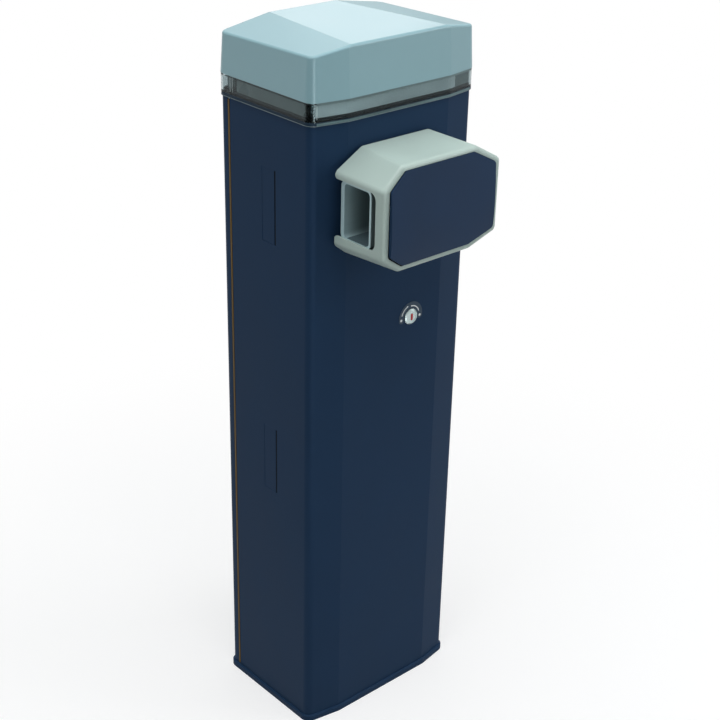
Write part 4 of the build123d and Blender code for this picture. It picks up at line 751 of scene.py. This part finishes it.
def upright_rods(places, heights):
    """Upright lines of points at places in the plan, with heights above the body's top."""
    return [[Vector((x, y, BODY_TOP + z)) for z in heights] for x, y in places]


def add_band_details(materials):
    """The light band's painted highlights on its edges and in its sleeves, its films of painted
    light and shade, its dark sheets of painted shade, the painted reflection on its ledge's front,
    and its ledge and lip.
    """
    # In front the painted highlights are one step round from the facets, at the rear in the arcs'
    # middles
    line = plan_line(GLINT_GROW)
    arc = PLAN_STEPS + 1
    rear_right, rear_left = 2 + arc, 4 + 2 * arc
    spots = [line[3], line[-2], line[rear_right + arc // 2], line[rear_left + arc // 2]]
    spots += [(side * SIDE_GLINT_X, y) for side in (-1, 1) for y in SIDE_GLINT_Y]
    rods = upright_rods(spots, GLINT_HEIGHTS)
    mesh = tubes_mesh("corner_glints", rods, GLINT_RADIUS, GLINT_SIDES)
    piece = add_piece(mesh, "cabinet", materials["glint_pale"], smooth=True)

    rods = upright_rods([(-SLEEVE_X, SLEEVE_Y), (SLEEVE_X, SLEEVE_Y)], SLEEVE_HEIGHTS)
    mesh = tubes_mesh("post_sleeves", rods, SLEEVE_RADIUS, SLEEVE_SIDES)
    piece = add_piece(mesh, "cabinet", materials["glint_pale"], smooth=True)

    for name, grow, depth, first, last, low, high, finish, slot in FRONT_STRIPS:
        outer, inner = (front_line(offset, first, last) for offset in (grow, grow - depth))
        mesh = wall_mesh(name, outer, inner, BODY_TOP + low, BODY_TOP + high, closed=False)
        piece = add_piece(mesh, "cabinet", materials[finish])

    for name, outer, inner, low, high, finish, slot in BAND_RINGS:
        lines = plan_line(outer), plan_line(inner)
        mesh = wall_mesh(name, *lines, BODY_TOP + low, BODY_TOP + high)
        piece = add_piece(mesh, "cabinet", materials[finish])


# Dark strips of painted shade in the slots at the front edge of the side blanks
SLOT_SHADE_X = (0.1461, 0.1472)
SLOT_SHADE_Y = (-0.0219, -0.0187)
SLOT_SHADE_MIDDLES = (0.4425, 0.842)
SLOT_SHADE_HALF_HEIGHT = 0.0538


def add_slot_shades(materials):
    """Painted shade: dark strips in the slots of the side blanks."""
    boxes = []
    for side in (-1, 1):
        for middle in SLOT_SHADE_MIDDLES:
            x_limits = sorted(side * x for x in SLOT_SHADE_X)
            heights = (middle - SLOT_SHADE_HALF_HEIGHT, middle + SLOT_SHADE_HALF_HEIGHT)
            boxes.append((*x_limits, *SLOT_SHADE_Y, *heights))
    piece = add_piece(box_mesh("slot_shades", boxes), "cabinet", materials["gap_shade"])


# The lock and its label. Depths are from the plug's or the label's face, front and back.
LOCK_X = 0.035
LOCK_Z = 0.658
LABEL_Y = -0.1055
PLUG_Y = -0.1079
KEY_WIDTH = 0.0042
KEY_HEIGHT = 0.0112
KEY_DEPTHS = (-0.0003, 0.0004)
KEY_BEVEL = 0.0002
PRINT_DEPTHS = (-0.00008, 0.00005)
# Printed arcs as radius, width, first and last angle, and dots as place and radius
LABEL_ARCS = ((0.0182, 0.0015, 163.0, 111.0), (0.0165, 0.0017, 88.0, 20.0))
LABEL_DOTS = ((-0.0186, -0.0020, 0.0020), (0.0180, -0.0024, 0.0021))


def add_lock_details(materials):
    """The red key slot in the plug, and the label's printed arcs and dots."""
    front, back = (PLUG_Y + depth for depth in KEY_DEPTHS)
    ring = slot_ring(LOCK_X, LOCK_Z, KEY_WIDTH, KEY_HEIGHT)
    mesh = prism_mesh("key_slot", [ring], front, back, KEY_BEVEL)
    piece = add_piece(mesh, "release_lock", materials["slot_red"])

    front, back = (LABEL_Y + depth for depth in PRINT_DEPTHS)
    rings = [arc_ring(LOCK_X, LOCK_Z, *arc) for arc in LABEL_ARCS]
    rings += [disc_ring(LOCK_X + x, LOCK_Z + z, radius) for x, z, radius in LABEL_DOTS]
    mesh = prism_mesh("label_marks", rings, front, back)
    piece = add_piece(mesh, "cabinet", materials["print_pale"])


# The dark ring of painted shade round the head's face, widest at its left and bottom: the left,
# right, top and bottom of its outside and its inside, and the four chamfers, each as its run along
# X and its run along Z, clockwise from the top left
FACE_SHADE_OUTSIDE = (-0.1079, 0.0853, 0.9324, 0.8007)
FACE_SHADE_INSIDE = (-0.1066, 0.0851, 0.9321, 0.8019)
FACE_SHADE_FRONT = -0.20508
FACE_SHADE_BACK = -0.2049
FACE_CHAMFERS = ((0.0255, 0.0235), (0.0415, 0.0215), (0.0460, 0.0145), (0.0240, 0.0170))
FACE_CORNER = 0.006
FACE_CORNER_STEPS = 6


def face_ring(left, right, top, bottom):
    """The face's eight-sided outline, from its four sides."""
    (a, b), (c, d), (e, f), (g, h) = FACE_CHAMFERS
    corners = [
        (left + a, top), (right - c, top), (right, top - d), (right, bottom + f),
        (right - e, bottom), (left + g, bottom), (left, bottom + h), (left, top - b),
    ]
    return round_corners(corners, FACE_CORNER, FACE_CORNER_STEPS)


def add_face_gap_shade(materials):
    """Painted shade: a thin dark ring between the head's shell and its face."""
    outside, inside = face_ring(*FACE_SHADE_OUTSIDE), face_ring(*FACE_SHADE_INSIDE)
    edges = (
        (outside, FACE_SHADE_FRONT), (inside, FACE_SHADE_FRONT), (inside, FACE_SHADE_BACK),
        (outside, FACE_SHADE_BACK),
    )
    mesh = loft_mesh("face_gap_shade", [[(x, y, z) for x, z in ring] for ring, y in edges])
    piece = add_piece(mesh, "boom_head", materials["gap_shade"])


# The boom socket's outside, and the dark sleeve of painted shade round it by its open end
SOCKET_Y = (-0.178, -0.119)
SOCKET_Z = (0.8215, 0.9045)
SOCKET_CORNER = 0.008
SOCKET_CORNER_STEPS = 8
SOCKET_SHADE_X = (-0.1138, -0.0647)
SOCKET_SHADE_GROW = (0.0003, 0.00003)
# A dark pad of painted shade on the socket's floor
FLOOR_SHADE_LIMITS = (-0.1141, 0.0553, -0.1692, -0.1312, 0.82505, 0.82565)
FLOOR_SHADE_BEVEL = 0.0001


def socket_ring(grow):
    """The socket's outline in Y and Z, moved outwards by grow."""
    (y0, y1), (z0, z1) = SOCKET_Y, SOCKET_Z
    y0, y1, z0, z1 = y0 - grow, y1 + grow, z0 - grow, z1 + grow
    corners = [(y1, z1), (y0, z1), (y0, z0), (y1, z0)]
    return round_corners(corners, SOCKET_CORNER + grow, SOCKET_CORNER_STEPS)


def add_socket_details(materials):
    """Painted shade: a dark sleeve round the socket's outside and a dark pad on its floor."""
    outside, inside = (socket_ring(grow) for grow in SOCKET_SHADE_GROW)
    near, far = SOCKET_SHADE_X
    edges = ((outside, near), (outside, far), (inside, far), (inside, near))
    mesh = loft_mesh("socket_gap_shade", [[(x, y, z) for y, z in ring] for ring, x in edges])
    piece = add_piece(mesh, "boom_head", materials["gap_shade_grey"])

    mesh = box_mesh("socket_floor_shade", [FLOOR_SHADE_LIMITS], FLOOR_SHADE_BEVEL)
    piece = add_piece(mesh, "boom_head", materials["floor_shade_dark"])


# The control board's rear face and the blocks that the CAD stands on it. Each block is given by
# its place from the board's middle, its width, its height and how far it stands out, as shares of
# the board's width and height and of BLOCK_STAND.
BOARD_X = -0.055
BOARD_Y = 0.0301
BOARD_Z = 0.445
BOARD_WIDTH = 0.110
BOARD_HEIGHT = 0.214
BLOCK_STAND = 0.016
SINK_BLOCK = (-0.28, 0.3, 0.3, 0.14, 1.0)
RELAY_BLOCKS = (
    (0.12, 0.32, 0.12, 0.1, 0.8), (0.32, 0.32, 0.12, 0.1, 0.8), (0.3, 0.08, 0.2, 0.2, 1.1),
)
CAPACITOR_BLOCKS = ((-0.3, 0.05, 0.16, 0.16, 1.6), (0.02, 0.06, 0.16, 0.16, 0.5))
DISPLAY_BLOCK = (-0.15, -0.16, 0.4, 0.08, 0.6)
# Cases over the blocks: name, finish and blocks. They start just off the board.
CASES = (
    ("heat_sink", "module_grey", (SINK_BLOCK,)),
    ("relays", "relay_blue", RELAY_BLOCKS),
    ("capacitors", "chip_black_and_hole_shade", CAPACITOR_BLOCKS),
    ("display_case", "module_grey", (DISPLAY_BLOCK,)),
)
CASE_FOOT = 0.00005
CASE_SKIN = 0.00025
CASE_BEVEL = 0.0002
SMALL_BEVEL = 0.0001
# How deep a small part is sunk into what carries it
SUNK = 0.0002
FIN_COUNT = 9
FIN_WIDTH = 0.001
FIN_HEIGHT = 0.004
FIN_INSET = 0.0005
WINDOW_INSET = 0.004
WINDOW_STAND = 0.0003
# Small chips in columns and rows, from the board's middle, and one large chip
CHIP_COLUMNS = 7
CHIP_ROWS = 3
CHIP_FIRST = (-0.043, -0.052)
CHIP_PITCH = (0.014, -0.009)
CHIP_HALF_WIDTHS = (0.0055, 0.0032, 0.0032)
CHIP_HALF_HEIGHT = 0.0016
CHIP_STAND = 0.0018
LARGE_CHIP_X = (0.019, 0.043)
LARGE_CHIP_Z = (-0.041, -0.025)
LARGE_CHIP_STAND = 0.0024
# The terminal blocks' rear face, their pitch, and the pitch of the five poles on each
TERMINAL_Y = 0.0421
TERMINAL_Z = 0.352
TERMINAL_PITCH = BOARD_WIDTH / 3
POLE_PITCH = 0.0062
SCREW_RADIUS = 0.0020
SCREW_SIDES = 18
SCREW_RISE = 0.0028
SCREW_STAND = 0.0006
# The screws' slots and the wires' mouths, drawn as dark boxes of painted shade: half width, depths
# from the face and heights
SCREW_SLOT = (0.0016, (0.0, 0.00062), (0.0026, 0.0030))
WIRE_MOUTH = (0.0019, (-0.0001, 0.00012), (-0.0055, -0.0015))


def block_limits(shares):
    """The six limits of the case over one of the board's blocks."""
    x_share, z_share, width_share, height_share, stand_share = shares
    x, z = BOARD_X + x_share * BOARD_WIDTH, BOARD_Z + z_share * BOARD_HEIGHT
    half_x = width_share * BOARD_WIDTH / 2 + CASE_SKIN
    half_z = height_share * BOARD_HEIGHT / 2 + CASE_SKIN
    foot, top = BOARD_Y + CASE_FOOT, BOARD_Y + stand_share * BLOCK_STAND + CASE_SKIN
    return (x - half_x, x + half_x, foot, top, z - half_z, z + half_z)


def chip_limits():
    """The limits of the small chips and of the large one."""
    chips = []
    for column in range(CHIP_COLUMNS):
        for row in range(CHIP_ROWS):
            x = BOARD_X + CHIP_FIRST[0] + CHIP_PITCH[0] * column
            z = BOARD_Z + CHIP_FIRST[1] + CHIP_PITCH[1] * row
            half = CHIP_HALF_WIDTHS[(column + row) % len(CHIP_HALF_WIDTHS)]
            chips.append((
                x - half, x + half, BOARD_Y, BOARD_Y + CHIP_STAND,
                z - CHIP_HALF_HEIGHT, z + CHIP_HALF_HEIGHT,
            ))
    chips.append((
        *(BOARD_X + x for x in LARGE_CHIP_X), BOARD_Y, BOARD_Y + LARGE_CHIP_STAND,
        *(BOARD_Z + z for z in LARGE_CHIP_Z),
    ))
    return chips


def add_board_parts(materials):
    """Cases over the board's blocks, fins, a display, chips and the terminals' screws."""
    for name, finish, blocks in CASES:
        mesh = box_mesh(name, [block_limits(block) for block in blocks], CASE_BEVEL)
        piece = add_piece(mesh, "cabinet", materials[finish])

    x0, x1, _, top, z0, z1 = block_limits(SINK_BLOCK)
    pitch = (x1 - x0 - 2 * FIN_INSET - FIN_WIDTH) / (FIN_COUNT - 1)
    fins = []
    for step in range(FIN_COUNT):
        x = x0 + FIN_INSET + pitch * step
        fins.append((
            x, x + FIN_WIDTH, top - SUNK, top + FIN_HEIGHT, z0 + FIN_INSET, z1 - FIN_INSET
        ))
    piece = add_piece(
        box_mesh("sink_fins", fins, SMALL_BEVEL), "cabinet", materials["zinc_steel"]
    )

    x0, x1, _, top, z0, z1 = block_limits(DISPLAY_BLOCK)
    window = (
        x0 + WINDOW_INSET, x1 - WINDOW_INSET, top - SUNK, top + WINDOW_STAND,
        z0 + WINDOW_INSET, z1 - WINDOW_INSET,
    )
    mesh = box_mesh("display_window", [window], SMALL_BEVEL)
    piece = add_piece(mesh, "cabinet", materials["chip_black_and_hole_shade"])

    mesh = box_mesh("board_chips", chip_limits(), CASE_BEVEL)
    piece = add_piece(mesh, "cabinet", materials["chip_black_and_hole_shade"])

    poles = [
        BOARD_X + block * TERMINAL_PITCH + step * POLE_PITCH
        for block in (-1, 0, 1) for step in (-2, -1, 0, 1, 2)
    ]
    heads = [disc_ring(x, TERMINAL_Z + SCREW_RISE, SCREW_RADIUS, SCREW_SIDES) for x in poles]
    mesh = prism_mesh("terminal_screws", heads, TERMINAL_Y + SCREW_STAND, TERMINAL_Y - SUNK)
    piece = add_piece(mesh, "cabinet", materials["bright_steel"])

    # Painted shade: dark boxes in the screws' slots and the wires' mouths
    hole_shades = [
        (x - half, x + half, *(TERMINAL_Y + y for y in depths), *(TERMINAL_Z + z for z in heights))
        for half, depths, heights in (SCREW_SLOT, WIRE_MOUTH) for x in poles
    ]
    piece = add_piece(box_mesh("terminal_hole_shades", hole_shades), "cabinet", materials["chip_black_and_hole_shade"])


# Stage and light

WHITE = (1, 1, 1, 1)
FLOOR_REACH = 9.0
FLOOR_GREY = (0.50, 0.50, 0.50, 1)
# The floor's own light near the object, where it keeps the shadow, and the distance from the
# centre over which it fades to plain white
FLOOR_GLOW = 0.58
FLOOR_FADE = (0.5, 1.2)
# Cards on the floor that only reflections show: direction from the centre, half the angle of the
# full card and of its soft edge, and what they add to the floor's white
FLOOR_CARDS = ((-170.0, 26.0, 38.0, -0.85), (-117.4, 5.0, 9.0, 8.0))
# The world's light on the object, and its brightness to reflections above the horizon
WORLD_FILL = (0.92, 0.97, 1.0, 1)
WORLD_STRENGTH = 0.25
HORIZON_SPAN = (0.0, 0.22)
HORIZON_WHITE = 0.25


def card_zone(tree, place, yaw, inside, outside):
    """1 in a sector of the floor, 0 beyond its soft edge."""
    unit = tree.add("ShaderNodeVectorMath", {0: place}, operation="NORMALIZE").outputs["Vector"]
    aim = (math.cos(math.radians(yaw)), math.sin(math.radians(yaw)), 0.0)
    near = tree.add("ShaderNodeVectorMath", {0: unit, 1: aim}, operation="DOT_PRODUCT")
    span = (math.cos(math.radians(outside)), math.cos(math.radians(inside)))
    return tree.remap(near.outputs["Value"], span)


def add_floor():
    """A pale floor that stays white to the camera and keeps the shadow."""
    mesh = bpy.data.meshes.new("floor")
    corners = [(-FLOOR_REACH, -FLOOR_REACH, 0), (FLOOR_REACH, -FLOOR_REACH, 0),
               (FLOOR_REACH, FLOOR_REACH, 0), (-FLOOR_REACH, FLOOR_REACH, 0)]
    mesh.from_pydata(corners, [], [(0, 1, 2, 3)])
    floor = bpy.data.objects.new("floor", mesh)
    scene.collection.objects.link(floor)
    made = bpy.data.materials.new("floor")
    tree = Tree(made)
    diffuse = tree.add("ShaderNodeBsdfDiffuse", {"Color": FLOOR_GREY}).outputs["BSDF"]
    glow = tree.add("ShaderNodeEmission", {"Color": WHITE, "Strength": FLOOR_GLOW})
    near = tree.add("ShaderNodeAddShader", {0: diffuse, 1: glow.outputs["Emission"]})

    place = tree.place("Object")
    cards = [
        tree.math("MULTIPLY", card_zone(tree, place, yaw, inside, outside), strength)
        for yaw, inside, outside, strength in FLOOR_CARDS
    ]
    change = tree.math("MULTIPLY", tree.math("ADD", *cards), tree.ray_mask("Glossy"))
    strength = tree.math("ADD", change, 1.0)
    far = tree.add("ShaderNodeEmission", {"Color": WHITE, "Strength": strength})

    away = tree.add("ShaderNodeVectorMath", {0: place}, operation="LENGTH").outputs["Value"]
    fade = tree.remap(away, FLOOR_FADE)
    white = tree.blend(fade, near.outputs["Shader"], far.outputs["Emission"])
    seen = tree.ray_mask("Camera", "Glossy", "Transmission")
    tree.end(tree.blend(seen, diffuse, white))
    mesh.materials.append(made)


def add_world():
    """A white world to the camera and in reflections, and a faint fill on the object."""
    world = bpy.data.worlds.new("world")
    scene.world = world
    tree = Tree(world)
    fill = tree.add("ShaderNodeBackground", {"Color": WORLD_FILL, "Strength": WORLD_STRENGTH})
    way = tree.add("ShaderNodeSeparateXYZ", {"Vector": tree.place("Generated")})
    rise = tree.remap(way.outputs["Z"], HORIZON_SPAN, HORIZON_WHITE)
    strength = tree.math("MAXIMUM", rise, tree.ray_mask("Camera", "Transmission"))
    white = tree.add("ShaderNodeBackground", {"Color": WHITE, "Strength": strength})
    seen = tree.ray_mask("Camera", "Glossy", "Transmission")
    shader = tree.blend(seen, fill.outputs["Background"], white.outputs["Background"])
    tree.end(shader, "World")


# Soft square lamps: name, place, aim, side and watts
LAMPS = (
    ("overhead", (-0.3, -0.3, 3.2), (0.0, 0.0, 0.6), 2.6, 62.0),
    ("front_left", (-3.2, -1.1, 2.0), (0.0, 0.0, 0.5), 1.8, 11.5),
    ("front_right", (2.6, -2.3, 1.8), (0.0, 0.0, 0.5), 1.8, 34.0),
    ("behind", (1.93, 2.19, 1.80), (0.0, 0.0, 1.07), 0.7, 2.2),
)


def add_lamps():
    """The lamps, out of the camera's sight."""
    for name, place, aim, side, power in LAMPS:
        data = bpy.data.lights.new(name, "AREA")
        data.size = side
        data.energy = power
        lamp = bpy.data.objects.new(name, data)
        lamp.location = place
        lamp.rotation_mode = "QUATERNION"
        lamp.rotation_quaternion = (Vector(aim) - Vector(place)).to_track_quat("-Z", "Y")
        lamp.visible_camera = False
        scene.collection.objects.link(lamp)


add_camera()
materials = make_materials()
dress_nodes(materials)
add_spring(materials)
add_band_details(materials)
add_slot_shades(materials)
add_lock_details(materials)
add_face_gap_shade(materials)
add_socket_details(materials)
add_board_parts(materials)
add_floor()
add_world()
add_lamps()
